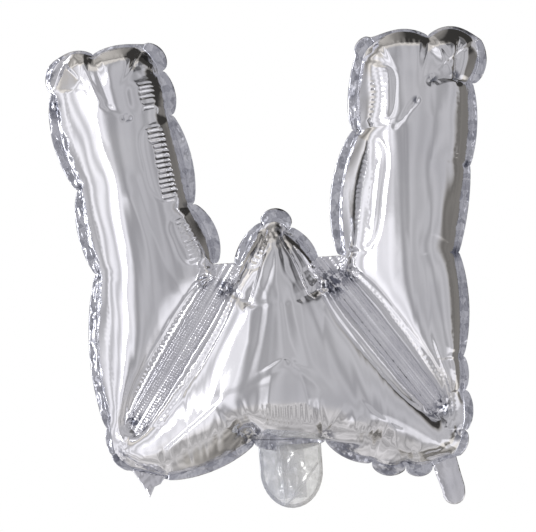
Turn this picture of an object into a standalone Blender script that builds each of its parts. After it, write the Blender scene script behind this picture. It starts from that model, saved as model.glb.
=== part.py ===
"""Letter W foil balloon, air filled.

Two sheets of silver film are welded together round the letter. The weld leaves a thin rim that
buckles into lobes between its pinches, and a flat web closes each slit between a leg and the
middle of the letter. A clear tail hangs from the neck, with the flat valve sleeve inside it.

Metres, +Z up. The letter reads right way round when looked at along +Y. The origin is the neck,
in the middle of the film's thickness. The walls are thicker than the film's, so that they are solid.
"""

import math

import bmesh
import bpy
import numpy as np
from mathutils import Vector
from mathutils.geometry import delaunay_2d_cdt

MM = 0.001

# Thicknesses, in metres.
FOIL = 1.0 * MM            # one sheet of the envelope
RIM = 2.0 * MM             # both sheets welded together
PLY = 0.5 * MM             # one sheet at the neck and in the tail
SLEEVE = 0.4 * MM          # the flat valve sleeve between them
GAP = 0.3 * MM             # left between pieces that touch

# The welded edge, in metres.
LIP = 2.5 * MM             # the envelope's flat edge on the rim
PINCH = 3.2 * MM           # the rim's width at a pinch
SLACK = 8 * MM             # how far the centres of the pillow's arcs lie behind the weld's plane

# Spacing of the mesh, in metres.
SEAM_STEP = 12 * MM        # along the envelope's edge
EDGE_STEP = 4 * MM         # along the rim's lobes
NET_STEP = 14 * MM         # across the envelope
STEEP_ROWS = (2.2 * MM, 7 * MM)     # two rows inside the weld, where the pillow is steepest

# The weld line, clockwise from the peak's tip as seen from the front. Each row is a pinch:
# x, z and the rim's width there in millimetres, then for the stretch up to the next pinch
# how far the weld bows outward and how wide the rim is at the middle of its lobe.
SEAM = {
    "rim_apex": [(-8, 175, 3, 5, 11), (11, 170, 3, 0, 0)],
    "rim_peak_right": [(11, 170, 3, 1.5, 6.5), (31, 144, 3, 0, 0)],
    "slit_right": [(36, 136, 0, 0, 0), (115, 21, 0, 0, 0), (120, 16.5, 0, 0, 0), (125, 20, 0, 0, 0),
                   (123.5, 27, 0, 0, 0), (48, 137, 0, 0, 0)],
    "rim_leg_right_inner": [(54, 147, 3, 8, 7.5), (75, 240, 3, 3.5, 7.5), (86, 306, 9, 0, 0)],
    "rim_leg_right_top": [(86, 306, 9, 2.5, 8), (132, 315, 3, 2, 8), (167, 307, 12, 0, 0)],
    "rim_leg_right_outer": [(167, 307, 12, 2, 8), (163, 272, 3, 2, 7), (156, 212, 3, 1, 6),
                            (143, 143, 3, 3, 6.5), (141, 60, 3, 1, 6), (141, 33, 3, 2, 7.5),
                            (139, 1, 3, 0, 0)],
    "rim_foot_right": [(139, 1, 3, 1.5, 7), (132, -17, 3.2, 0, 3.2), (113, -23, 3.2, 0, 0)],
    "rim_bottom_right": [(113, -23, 3.2, 3, 9), (93, -21, 3, 4, 9), (67, -17, 3, 3, 7), (31, 5, 3, 0, 0)],
    "neck_lobe": [(31, 5, 3, 2, 9), (-28, 5, 3, 0, 0)],
    "rim_bottom_left": [(-28, 5, 3, 4, 7), (-98, -19, 3.2, 0, 0)],
    "rim_foot_left": [(-98, -19, 3.2, 0, 3.2), (-127, -10, 3.2, 1, 5), (-139, 2, 3, 0, 0)],
    "rim_leg_left_outer": [(-139, 2, 3, 0.5, 5), (-141, 22, 3, 6, 7), (-141, 146, 3, 4, 6.5),
                           (-151, 214, 3, 5, 7), (-165, 288, 5, 0.5, 7), (-167, 307, 12, 0, 0)],
    "rim_leg_left_top": [(-167, 307, 12, 2, 9), (-138, 315, 3, 2, 9), (-97, 315, 3, 0.5, 5),
                         (-86, 309, 12, 0, 0)],
    "rim_leg_left_inner": [(-86, 309, 12, 1.5, 8), (-78, 268, 3, 3.5, 7.5), (-66, 195, 3, 5, 8),
                           (-50, 147.5, 3, 0, 0)],
    "slit_left": [(-48, 137, 0, 0, 0), (-123.5, 27, 0, 0, 0), (-125, 20, 0, 0, 0), (-120, 16.5, 0, 0, 0),
                  (-115, 21, 0, 0, 0), (-36, 136, 0, 0, 0)],
    "rim_peak_left": [(-30, 144, 3, 1.5, 7), (-8, 175, 3, 0, 0)],
}

# How full the pillow stands over the letter against a soap film: x and z in millimetres, and the share
# of a soap film's height. Between these places the share goes over smoothly.
FULLNESS = [
    (-150, 265, 0.80), (-80, 265, 0.92), (-140, 150, 0.90), (-70, 190, 0.92), (-125, 60, 0.82),
    (150, 265, 0.80), (80, 265, 0.90), (145, 150, 0.92), (70, 190, 0.90), (135, 60, 1.05),
    (-90, 75, 1.05), (90, 75, 0.97), (0, 150, 0.90), (0, 85, 0.87), (0, 25, 1.07),
    (-85, 10, 1.02), (85, 10, 1.02),
]
FULLNESS_REACH = 35 * MM

# The cut edge of each slit's web at the foot of its notch, in millimetres.
WEB_TOP = {"slit_right": [(52, 147), (33.6, 147)], "slit_left": [(-33.6, 147), (-49.5, 147)]}

# The clear tail under the neck, in metres.
TAIL_MIDDLE = 1 * MM
TAIL_HALF_WIDTH = 25 * MM
TAIL_SIDE_END = -22 * MM   # where its straight sides turn into the round end
TAIL_END = -52 * MM
TAIL_SEAM = 3 * MM         # width of the weld round it
SLEEVE_HALF_WIDTH = 11 * MM
SLEEVE_LOW = -44 * MM
SLEEVE_HIGH = 42 * MM

# The tab for a ribbon, and the tab that is folded up into a point, in millimetres.
TAB_RIGHT_SIDE = [(133, -20.5), (136, -33), (138.5, -44)]
TAB_END_MIDDLE = (129.5, -49)
TAB_END_RADIUS = 9
TAB_LEFT_SIDE = [(120, -46), (116.5, -35), (114.1, -26.5)]
FOLDED_TAB = [(-101.5, -21.7), (-109, -27), (-113, -35), (-125, -14.4)]

COLOURS = {
    "silver_film": ((0.80, 0.80, 0.82, 1), 0.12, 1.0),
    "clear_film": ((0.86, 0.87, 0.88, 0.4), 0.25, 0.0),
    "valve_film": ((0.78, 0.79, 0.80, 0.6), 0.45, 0.0),
}


def start_clean():
    """Empties the scene and makes the balloon's collection."""
    for thing in list(bpy.data.objects):
        bpy.data.objects.remove(thing, do_unlink=True)
    group = bpy.data.collections.new("letter_foil_balloon")
    bpy.context.scene.collection.children.link(group)
    return group


def material(name):
    """The named film as a Principled material."""
    found = bpy.data.materials.get(name)
    if found:
        return found
    colour, roughness, metallic = COLOURS[name]
    made = bpy.data.materials.new(name)
    made.use_nodes = True
    shader = made.node_tree.nodes["Principled BSDF"]
    shader.inputs["Base Color"].default_value = colour
    shader.inputs["Roughness"].default_value = roughness
    shader.inputs["Metallic"].default_value = metallic
    return made


def spot(row):
    """Where a pinch is."""
    return Vector(row[:2]) * MM


def left_of(way):
    """The unit direction to the left of a way, which is outward from the letter on its weld line."""
    return Vector((-way.y, way.x)).normalized()


def stretch(row, next_row, step):
    """Weld points from one pinch up to, and without, the next, on a shallow arc that bows outward."""
    start, way, bow = spot(row), spot(next_row) - spot(row), row[3] * MM
    count = max(2 if bow else 1, round(way.length / step))
    return [start + way * (i / count) + left_of(way) * bow * 4 * (i / count) * (1 - i / count)
            for i in range(count)]


def run_points(rows, step):
    """The weld line of one run of the seam, from its first pinch to its last."""
    points = []
    for row, next_row in zip(rows, rows[1:]):
        points += stretch(row, next_row, step)
    return points + [spot(rows[-1])]


def weld_loop(step):
    """The whole weld line as one closed loop."""
    loop = []
    for rows in SEAM.values():
        for point in run_points(rows, step):
            if not loop or (point - loop[-1]).length > 1 * MM:
                loop.append(point)
    return loop[:-1] if (loop[0] - loop[-1]).length < 1 * MM else loop


def outward_at(row):
    """Outward at a pinch: halfway between the ways of the stretches that meet there."""
    total = Vector((0, 0))
    for rows in SEAM.values():
        for first, second in zip(rows, rows[1:]):
            if row[:2] in (first[:2], second[:2]):
                total += left_of(spot(second) - spot(first))
    return total.normalized()


def rim_edge(rows):
    """The rim's outer edge over one run: it bulges out in a lobe on each stretch."""
    edge = []
    for row, next_row in zip(rows, rows[1:]):
        points = stretch(row, next_row, EDGE_STEP)
        outward = left_of(spot(next_row) - spot(row))
        fuller = row[4] - (row[2] + next_row[2]) / 2
        for i, point in enumerate(points):
            t = i / len(points)
            width = row[2] + (next_row[2] - row[2]) * t + fuller * math.sin(math.pi * t) ** 0.6
            edge.append(point + (outward if i else outward_at(row)) * width * MM)
    return edge + [spot(rows[-1]) + outward_at(rows[-1]) * rows[-1][2] * MM]


def plate(group, name, outline, thickness, film, middle=0.0):
    """A flat piece cut to an outline of x and z, its middle at y = middle."""
    curve = bpy.data.curves.new(name, "CURVE")
    curve.dimensions = "2D"
    curve.fill_mode = "BOTH"
    curve.extrude = thickness / 2
    line = curve.splines.new("POLY")
    line.points.add(len(outline) - 1)
    for corner, (x, z) in zip(line.points, outline):
        corner.co = (x, z, 0, 1)
    line.use_cyclic_u = True
    made = bpy.data.objects.new(name, curve)
    made.rotation_euler = (math.pi / 2, 0, 0)
    made.location = (0, middle, 0)
    group.objects.link(made)
    bpy.context.view_layer.update()
    return as_mesh(made, film)


def as_mesh(curve_object, film):
    """A curve object turned into a closed mesh in the same place."""
    graph = bpy.context.evaluated_depsgraph_get()
    mesh = bpy.data.meshes.new_from_object(curve_object.evaluated_get(graph))
    made = bpy.data.objects.new(curve_object.name + "_cut", mesh)
    made.matrix_world = curve_object.matrix_world.copy()
    curve_object.users_collection[0].objects.link(made)
    shape = bmesh.new()
    shape.from_mesh(mesh)
    bmesh.ops.remove_doubles(shape, verts=shape.verts, dist=0.01 * MM)
    bmesh.ops.recalc_face_normals(shape, faces=shape.faces)
    shape.to_mesh(mesh)
    shape.free()
    name = curve_object.name
    bpy.data.objects.remove(curve_object, do_unlink=True)
    made.name = name
    mesh.materials.clear()
    mesh.materials.append(material(film))
    return made


def rim_run(group, name, rows, thickness=RIM, middle=0.0):
    """One run of the welded rim, from its weld line out to its cut edge. Its neighbours keep a gap."""
    inner, outer = run_points(rows, EDGE_STEP), rim_edge(rows)
    for end, side in ((0, 1), (-1, -1)):
        outward = outward_at(rows[end])
        cut = Vector((outward.y, -outward.x)) * side * GAP / 2
        inner[end] = inner[end] + cut
        outer[end] = outer[end] + cut
    return plate(group, name, inner + outer[::-1], thickness, "silver_film", middle)


def web(group, name, slit):
    """The flat film that closes a slit, up to its cut edge at the foot of the notch."""
    outline = run_points(SEAM[slit], SEAM_STEP) + [Vector(p) * MM for p in WEB_TOP[slit]]
    return plate(group, name, outline, RIM, "silver_film")


def distance_to(loop, point):
    """How far a point is from a closed loop of straight lines."""
    best = math.inf
    for i, start in enumerate(loop):
        way = start - loop[i - 1]
        along = max(0, min(1, (point - loop[i - 1]).dot(way) / way.length_squared))
        best = min(best, (point - loop[i - 1] - way * along).length)
    return best


def is_inside(loop, point):
    """Whether a point lies inside a closed loop."""
    inside = False
    for i, end in enumerate(loop):
        start = loop[i - 1]
        if (start.y > point.y) != (end.y > point.y):
            crossing = start.x + (end.x - start.x) * (point.y - start.y) / (end.y - start.y)
            inside ^= crossing > point.x
    return inside


def beside(loop, distance):
    """The loop's points moved to its left, so that its lines shift by a distance."""
    moved = []
    for i, point in enumerate(loop):
        before = left_of(point - loop[i - 1])
        after = left_of(loop[(i + 1) % len(loop)] - point)
        miter = (before + after).normalized()
        moved.append(point + miter * distance / max(0.5, miter.dot(after)))
    return moved


def pillow_points(loop):
    """Points spread over the letter, in rows along the weld and in a net across the middle."""
    points = []
    for row in STEEP_ROWS:
        points += [p for p in beside(loop, -row) if is_inside(loop, p) and distance_to(loop, p) > 0.9 * row]
    left, right = min(p.x for p in loop), max(p.x for p in loop)
    low, high = min(p.y for p in loop), max(p.y for p in loop)
    row_step = NET_STEP * math.sqrt(3) / 2
    for row in range(int((high - low) / row_step) + 1):
        for column in range(int((right - left) / NET_STEP) + 1):
            point = Vector((left + NET_STEP * (column + row % 2 / 2), low + row_step * row))
            if is_inside(loop, point) and distance_to(loop, point) > STEEP_ROWS[-1] + NET_STEP / 3:
                points.append(point)
    return points


def fullness_at(point):
    """The pillow's share of a soap film's height at a point."""
    total = weights = 0
    for x, z, share in FULLNESS:
        weight = math.exp(-((point - Vector((x, z)) * MM).length / FULLNESS_REACH) ** 2)
        total += share * weight
        weights += weight
    return total / weights


def pillow_heights(points, faces, held):
    """How high a film blown up over the letter stands at each point.

    The square of a soap film's height solves Poisson's equation over the letter, which gives a
    round section across a long stroke and a flatter dome over a wide part. The foil hardly
    stretches, so its arcs have their centres behind the weld's plane and meet it at a slant.
    """
    matrix = np.zeros((len(points), len(points)))
    load = np.zeros(len(points))
    for corner in faces:
        place = [np.array(points[i]) for i in corner]
        side = [place[(k + 2) % 3] - place[(k + 1) % 3] for k in range(3)]
        area = abs(side[0][0] * side[1][1] - side[0][1] * side[1][0]) / 2
        for i in range(3):
            load[corner[i]] += 2 * area / 3
            for j in range(3):
                matrix[corner[i], corner[j]] += side[i] @ side[j] / (4 * area)
    free = [i for i in range(len(points)) if i not in held]
    squares = np.zeros(len(points))
    squares[free] = np.linalg.solve(matrix[np.ix_(free, free)], load[free])
    shares = np.array([fullness_at(point) for point in points])
    return np.sqrt(shares ** 2 * np.maximum(squares, 0) + SLACK ** 2) - SLACK


def envelope_sheet(group, name, side):
    """One sheet of the envelope: a flat lip on the rim and the pillow inside it. Side is -1 in front."""
    weld = weld_loop(SEAM_STEP)
    count = len(weld)
    lines = [(i, (i + 1) % count) for i in range(count)]
    points, _, faces = delaunay_2d_cdt(weld + pillow_points(weld), lines, [], 1, 1e-7)[:3]
    heights = pillow_heights(points, faces, set(range(count)))
    base = RIM / 2 + GAP + FOIL
    shape = bmesh.new()
    verts = [shape.verts.new((p.x, side * (base + h), p.y)) for p, h in zip(points, heights)]
    for corner in faces:
        shape.faces.new([verts[i] for i in corner])
    lip = [shape.verts.new((p.x, side * base, p.y)) for p in beside(weld, LIP)]
    for i, j in lines:
        shape.faces.new((lip[i], lip[j], verts[j], verts[i]))
    bmesh.ops.recalc_face_normals(shape, faces=shape.faces)
    if sum(f.normal.y * f.calc_area() for f in shape.faces) * side < 0:
        bmesh.ops.reverse_faces(shape, faces=shape.faces)
    mesh = bpy.data.meshes.new(name)
    shape.to_mesh(mesh)
    shape.free()
    mesh.materials.append(material("silver_film"))
    mesh.shade_smooth()
    made = bpy.data.objects.new(name, mesh)
    group.objects.link(made)
    wall = made.modifiers.new("wall", "SOLIDIFY")
    wall.thickness = FOIL
    wall.offset = -1
    wall.use_even_offset = False
    return made


def tail_outline(inset=0.0):
    """Down the tail's left side, round its end and up its right side."""
    half = TAIL_HALF_WIDTH - inset
    deep = TAIL_SIDE_END - TAIL_END - inset
    turn = [math.pi * (1 + i / 16) for i in range(17)]
    return [Vector((TAIL_MIDDLE + half * math.cos(a), TAIL_SIDE_END + deep * math.sin(a)))
            for a in turn]


def tail(group):
    """The clear tail: two plies welded round their edge, with the valve sleeve between them."""
    lobe = rim_edge(SEAM["neck_lobe"])
    inside = [p + Vector((0, -GAP)) for p in lobe if abs(p.x - TAIL_MIDDLE) < TAIL_HALF_WIDTH - 1 * MM]
    side_z = inside[0].y
    corners = [Vector((TAIL_MIDDLE + TAIL_HALF_WIDTH, side_z)), Vector((TAIL_MIDDLE - TAIL_HALF_WIDTH, side_z))]
    outline = tail_outline() + [corners[0]] + inside + [corners[1]]
    middle = SLEEVE / 2 + GAP + PLY / 2
    plate(group, "tail_front", outline, PLY, "clear_film", -middle)
    plate(group, "tail_back", outline, PLY, "clear_film", middle)
    top = side_z - 3 * MM
    outer, inner = tail_outline(), tail_outline(TAIL_SEAM)
    ring = ([Vector((outer[0].x, top))] + outer + [Vector((outer[-1].x, top)), Vector((inner[-1].x, top))]
            + inner[::-1] + [Vector((inner[0].x, top))])
    plate(group, "tail_seam", ring, SLEEVE, "clear_film")
    left, right = TAIL_MIDDLE - SLEEVE_HALF_WIDTH, TAIL_MIDDLE + SLEEVE_HALF_WIDTH
    sleeve = [(left, SLEEVE_LOW), (right, SLEEVE_LOW), (right, SLEEVE_HIGH), (left, SLEEVE_HIGH)]
    plate(group, "valve_sleeve", sleeve, SLEEVE, "valve_film")


def tabs(group):
    """The tab that a ribbon is tied to, and the other tab, folded up into a point."""
    x, z = TAB_END_MIDDLE
    turn = [-math.pi * i / 10 for i in range(11)]
    end = [(x + TAB_END_RADIUS * math.cos(a), z + TAB_END_RADIUS * math.sin(a)) for a in turn]
    outline = [Vector(p) * MM for p in TAB_RIGHT_SIDE + end + TAB_LEFT_SIDE]
    plate(group, "hanging_tab", outline, RIM, "silver_film")
    outline = [Vector(p) * MM for p in FOLDED_TAB]
    plate(group, "folded_tab", outline, RIM, "silver_film")


def build():
    """Makes every piece of the balloon."""
    group = start_clean()
    envelope_sheet(group, "foil_front", -1)
    envelope_sheet(group, "foil_back", 1)
    for name, rows in SEAM.items():
        if name == "slit_right":
            web(group, "web_right", name)
        elif name == "slit_left":
            web(group, "web_left", name)
        elif name == "neck_lobe":
            middle = SLEEVE / 2 + GAP + PLY / 2
            rim_run(group, "neck_lobe_front", rows, PLY, -middle)
            rim_run(group, "neck_lobe_back", rows, PLY, middle)
        else:
            rim_run(group, name, rows)
    tail(group)
    tabs(group)


build()
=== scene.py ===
"""Dresses the letter foil balloon: film cut flat, welded, blown up and set in a studio.

Two flat letters of film are joined along their weld and blown up by a cloth simulation, which gives
the balloon its full form. Lobes, folds, tucks, puckers and crumples are then pressed into the film
square to its surface. The front sheet, the back sheet, the runs of the welded edge and the two slit
webs are pieces of their own, and each stands for its CAD nodes. Lengths of the film are in
millimetres, as on a cutting plan. Finished pieces are in metres.
"""
from __future__ import annotations

import logging
import math
from dataclasses import dataclass, field
from enum import Enum
from functools import cached_property

import bpy
import numpy as np
from mathutils import Matrix, Vector, noise
from mathutils.geometry import delaunay_2d_cdt

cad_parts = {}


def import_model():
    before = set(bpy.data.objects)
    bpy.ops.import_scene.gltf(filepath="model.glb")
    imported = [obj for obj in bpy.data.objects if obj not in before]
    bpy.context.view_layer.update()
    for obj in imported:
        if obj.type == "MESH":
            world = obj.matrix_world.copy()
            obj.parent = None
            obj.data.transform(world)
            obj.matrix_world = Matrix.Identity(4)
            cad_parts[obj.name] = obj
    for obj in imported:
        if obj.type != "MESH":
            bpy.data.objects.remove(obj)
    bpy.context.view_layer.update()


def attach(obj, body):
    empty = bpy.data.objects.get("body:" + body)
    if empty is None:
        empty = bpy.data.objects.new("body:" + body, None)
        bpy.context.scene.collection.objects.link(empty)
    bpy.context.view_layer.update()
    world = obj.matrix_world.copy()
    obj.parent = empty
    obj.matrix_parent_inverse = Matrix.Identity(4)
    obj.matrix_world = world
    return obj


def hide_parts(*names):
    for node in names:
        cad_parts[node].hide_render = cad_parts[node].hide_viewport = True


log = logging.getLogger("letter_foil_balloon")

# A point is x and z.
Point = tuple[float, float]
Line = tuple[Point, ...]
Colour = tuple[float, float, float]

# A millimetre in metres, and the one body.
MM = 0.001
BODY = "root"


class Side(Enum):
    """Which layer of the film a triangle belongs to."""

    FRONT = 0
    BACK = 1
    WELDED = 2


class Slot(Enum):
    """The record's material slots."""

    SILVER = "silver_film"
    CLEAR = "clear_film"


# The cutting plan, clockwise from the peak's left shoulder, by the run of the edge. Each row is a
# pinch of the weld and the stretch that follows it, in millimetres: where the pinch is on the flat
# film and where it shows (x and z), then for the stretch how far the weld bows outward, how wide the
# edge is at the middle of its lobe and at the pinch, how far in the crease beside it lies and how far
# that stands out (less than 0 for a valley), and how strongly the film puckers there, from and up to
# which distance.
WELD_ROWS: dict[str, tuple[tuple[float, ...], ...]] = {
    "apex": ((-6, 184, -8, 175, 5, 11, 3, 10, 0.8, 0.2, 4, 8),),
    "peak_right": ((14, 179, 11, 170, 1.5, 6.5, 3, 5, 0.8, 0.3, 4, 8),),
    "web_right": (
        (42, 155, 31, 144, 0, 0, 3, 6, 0.2, 0, 2, 5),
        (48, 148, 36, 136, 0, 0, 0, 12, -0.4, 0.3, 3, 9),
        (134, 32, 115, 21, 0, 0, 0, 4, 0.2, 0, 1, 3),
        (139, 27, 120, 16.5, 0, 0, 0, 4, 0.2, 0, 1, 3),
        (144, 31, 125, 20, 0, 0, 0, 5, 0.2, 0, 1, 3),
        (142, 37, 123.5, 27, 0, 0, 0, 14, -0.4, 0.45, 8, 13),
        (68, 152, 48, 137, 0, 0, 0, 6, 0.2, 0, 2, 5),
    ),
    "leg_right_inner": (
        (71, 164, 54, 147, 8, 7.5, 3, 32, -0.4, 0.4, 13, 24),
        (89, 268, 72.2, 245.4, 2, 7.5, 3, 28, -0.5, 0.5, 9, 22),
        (103, 328, 80.7, 303.8, 1, 10, 6, 8, 0.6, 0, 3, 6),
    ),
    "leg_right_top": (
        (112, 342, 90.6, 314.7, 7, 2.2, 6, 12, 2.6, 0.22, 7, 14),
        (160, 348, 134, 315.7, 8.4, 2.4, 1.6, 16, 3.6, 0.22, 12, 18),
    ),
    "leg_right_outer": (
        (201, 340, 171.5, 310.7, 4, 7.5, 4, 12, 0.8, 0.2, 10, 16),
        (204, 303, 164.5, 277.5, 3, 4.2, 2.4, 12, 2.0, 0.32, 9, 15),
        (204, 231, 158, 212, 1.5, 4, 2.4, 11, 2.6, 0.32, 8, 14),
        (193, 159, 144, 143, 4, 5.2, 2.4, 10, 3.0, 0.32, 8, 13),
        (180, 73, 142, 60, 1.5, 5, 2.4, 8, 2.0, 0.3, 7, 11),
        (172, 40, 141, 33, 2, 7.5, 3, 8, 1.0, 0.3, 6, 10),
    ),
    "foot_right": (
        (156, 4, 139, 1, 1.5, 7, 3, 8, 0.6, 0.3, 4, 8),
        (148, -15, 132, -17, 0, 3.2, 3.2, 9, 0.6, 0.2, 4, 8),
    ),
    "bottom_right": (
        (131, -25, 113, -23, 3, 9, 3.2, 9, 0.8, 0.2, 4, 8),
        (110, -30, 93, -21, 4, 9, 3, 24, 1.6, 0.15, 20, 26),
        (82, -34, 67, -17, 3, 7, 3, 26, 1.6, 0.3, 18, 27),
    ),
    "neck": ((35, -30, 31, 5, 2, 9, 3, 33, 2.6, 0.45, 15, 33),),
    "bottom_left": ((-33, -24, -28, 5, 4, 7, 3, 28, 2.4, 0, 24, 30),),
    "foot_left": (
        (-114, -25, -98, -19, 0, 3.2, 3.2, 10, 0.8, 0.2, 4, 8),
        (-142, -10, -127, -10, 1, 5, 3.2, 9, 0.5, 0.2, 4, 8),
    ),
    "leg_left_outer": (
        (-155, 5, -139, 2, 0.5, 5, 3, 9, 0.5, 0.3, 4, 8),
        (-164, 30, -141, 22, 6, 7, 3, 10, 0.9, 0.25, 8, 12),
        (-186, 160, -141, 146, 4, 6.5, 3, 10, 1.0, 0.25, 8, 12),
        (-196, 233, -151, 214, 5, 7, 3, 10, 1.0, 0.25, 8, 12),
        (-199, 316, -166.8, 291.8, 5, 4.5, 3, 6, 0.5, 0.2, 5, 8),
    ),
    "leg_left_top": (
        (-191, 343, -161.5, 317.2, 4.6, 2.4, 3, 11, 2.2, 0.22, 6, 12),
        (-161, 347, -134.4, 319.2, 3.8, 2.4, 1.6, 12, 2.6, 0.22, 7, 14),
    ),
    "leg_left_inner": (
        (-118, 351, -94.8, 323.2, 2, 11, 4, 11, 1.2, 0.2, 6, 11),
        (-103, 328, -83.4, 302.8, 2.5, 7.5, 4, 29, -0.22, 1.35, 8.5, 20),
        (-91, 292, -78, 268, 3.5, 7.5, 3, 29, -0.3, 1.4, 9, 21),
        (-75, 215, -66, 195, 5, 8, 3, 26, -0.25, 0.6, 10, 20),
    ),
    "web_left": (
        (-65, 162, -50, 147.5, 0, 0, 3, 6, 0.2, 0, 2, 5),
        (-66, 151, -48, 137, 0, 0, 0, 13, -0.4, 0.52, 7, 13),
        (-140, 38, -123.5, 27, 0, 0, 0, 5, 0.2, 0, 1, 3),
        (-141, 31, -125, 20, 0, 0, 0, 4, 0.2, 0, 1, 3),
        (-137, 27, -120, 16.5, 0, 0, 0, 4, 0.2, 0, 1, 3),
        (-133, 33, -115, 21, 0, 0, 0, 14, -0.4, 0.45, 7, 13),
        (-46, 147, -36, 136, 0, 0, 0, 6, 0.2, 0, 2, 5),
    ),
    "peak_left": ((-39, 154, -30, 144, 1.5, 7, 3, 14, -0.8, 0.7, 7, 13),),
}

# Facets the front film is pulled into at the corners, in millimetres: three points of the facet's
# plane as x, z and height, and the corners of the area it fills as x and z.
FACETS: tuple[tuple[tuple[tuple[float, float, float], ...], Line], ...] = (
    (((-167, 292, 2), (-141, 290, 24), (-150, 320, 2)),
     ((-171, 292.5), (-155, 291.5), (-139, 290), (-135, 318), (-150, 326), (-172, 320))),
    (((155.5, 301, 10), (152.4, 281, 15), (167.5, 293, 8.5)),
     ((154.5, 305), (152.4, 280.5), (163, 278), (172, 290), (172, 311), (162, 316))),
)

# Folds of the front film, in millimetres: how wide, how deep (less than 0 for a ridge), how much of
# that is left at the far end, and the line as x and z.
FRONT_FOLDS: tuple[tuple[float, float, float, Line], ...] = (
    (9, -1.2, 0.4, ((-138, 317), (-135, 303), (-131, 289), (-127, 277))),
    (7, 1.3, 0.4, ((-134, 319), (-130, 304), (-126, 290), (-122, 277))),
    (4, 1.0, 0.3, ((-127, 277), (-121, 275), (-115, 270))),
    (4, 1.4, 1.0, ((-111, 266), (-107, 266))),
    (6, 1.4, 0.4, ((-96, 322), (-102, 316), (-101, 308), (-93, 304), (-84, 303))),
    (9, 0.7, 0.4, ((-104, 218), (-95, 178), (-85, 145), (-74, 124))),
    (8, -0.5, 0.4, ((-110, 203), (-99, 170), (-95, 138))),
    (5, 1.4, 0.1, ((-57, 194), (-69, 194), (-80, 193))),
    (5, 1.2, 0.1, ((-43, 144), (-57, 147), (-63, 143))),
    (5, 1.1, 0.1, ((-146, 145), (-137, 147), (-129, 148))),
    (4, 0.8, 0.1, ((-143, 143), (-136, 141), (-127, 141))),
    (5, 0.9, 0.1, ((-154, 216), (-147, 221), (-142, 224))),
    (6, 1.8, 0.5, ((71, 245), (82, 247), (99, 247))),
    (5, 1.4, 0.4, ((47, 149), (57, 150), (68, 148))),
    (6, 1.2, 0.2, ((134, 314), (129, 298), (124, 277))),
    (5, -0.9, 0.4, ((134, 312), (141, 301), (147, 290), (151, 282))),
    (4, 0.8, 0.6, ((136, 312), (144, 301), (149, 291), (152, 283))),
    (6, 1.7, 0.8, ((132, 279), (142, 281), (153, 280.5), (162, 277.5), (166, 276))),
    (4, 1.5, 0.5, ((119, 264), (113, 258), (106, 250), (100, 245))),
    (5, 1.0, 0.5, ((90, 314), (88, 307), (82, 304))),
    (5, 1.0, 0.1, ((158, 211), (153, 213), (147, 214))),
    (5, 1.0, 0.1, ((145, 142), (138, 146), (131, 150))),
    (5, 0.9, 0.1, ((142, 60), (137, 63), (132, 65))),
    (10, 0.6, 0.4, ((107, 244), (103, 164), (110, 115))),
    (10, -0.5, 0.4, ((131, 250), (123, 187), (122, 122), (127, 82))),
    (6, 1.9, 0.3, ((-44, 128), (-34, 122), (-22, 114))),
    (4.5, 0.9, 0.8, ((-21, 113.5), (-3, 114), (17, 115))),
    (6, 1.9, 0.3, ((36, 123), (28, 120), (18, 115.5))),
    (7, 1.2, 0.3, ((-6, 173), (-13, 157), (-23, 138), (-32, 125))),
    (7, 1.2, 0.3, ((8, 168), (10, 152), (17, 135), (26, 121))),
    (6, -0.8, 0.4, ((-9, 156), (-12, 136), (-21, 116))),
    (6, 0.8, 0.4, ((1, 167), (-3, 143), (-13, 119))),
    (6, 0.8, 0.4, ((4, 159), (8, 138), (18, 119))),
    (6, 0.8, 0.1, ((6, 66), (-12, 58), (-31, 49))),
    (6, 0.8, 0.1, ((6, 66), (17, 55), (32, 42))),
    (9, 0.6, 0.2, ((4, 112), (6, 86), (14, 62), (27, 45))),
    (9, -0.5, 0.2, ((17, 112), (18, 86), (23, 65), (36, 44))),
    (9, 0.5, 0.2, ((-13, 111), (-19, 84), (-28, 57), (-38, 39))),
    (9, 0.5, 0.2, ((35, 109), (33, 81), (37, 56), (48, 33))),
    (9, -0.4, 0.2, ((-23, 109), (-26, 85), (-38, 57), (-49, 37))),
    (5, 1.3, 0.3, ((-32, 5), (-38, 15), (-49, 31))),
    (5, 1.1, 0.3, ((-27, 7), (-29, 22), (-34, 39))),
    (4, 0.9, 0.4, ((27, 7), (27, 21), (26, 36))),
    (4, 0.7, 0.3, ((31, 7), (37, 18), (44, 31))),
    (6, 1.0, 0.5, ((-131, -1), (-116, -11), (-102, -17))),
    (6, 0.45, 0.3, ((99, -15), (89, -3), (74, 9), (59, 20), (47, 27))),
    (6, 1.1, 0.4, ((99, -17), (112, -15), (121, -13), (131, -7), (134, 1), (143, -3))),
)

# Tucks of the front film, in millimetres: how wide the steep wall is, how wide the gentle one on the
# left of the line is, how deep, how much of that is left at the far end, and the line as x and z.
TUCKS: tuple[tuple[float, float, float, float, Line], ...] = (
    (3.6, 10, 3.6, 0.8, ((8, 166), (14, 152), (20, 137), (25.5, 121))),
    (4.2, 11, 4.6, 0.3, ((-24.5, 117), (-17, 136), (-11, 152), (-8, 162))),
    (4.5, 9, 3.2, 0.7, ((155.8, 307), (155, 299), (153, 288), (152.4, 281))),
    (2.6, 8, 1.6, 0.3, ((-139.5, 318), (-136, 303), (-131, 289), (-125, 277))),
)

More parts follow.
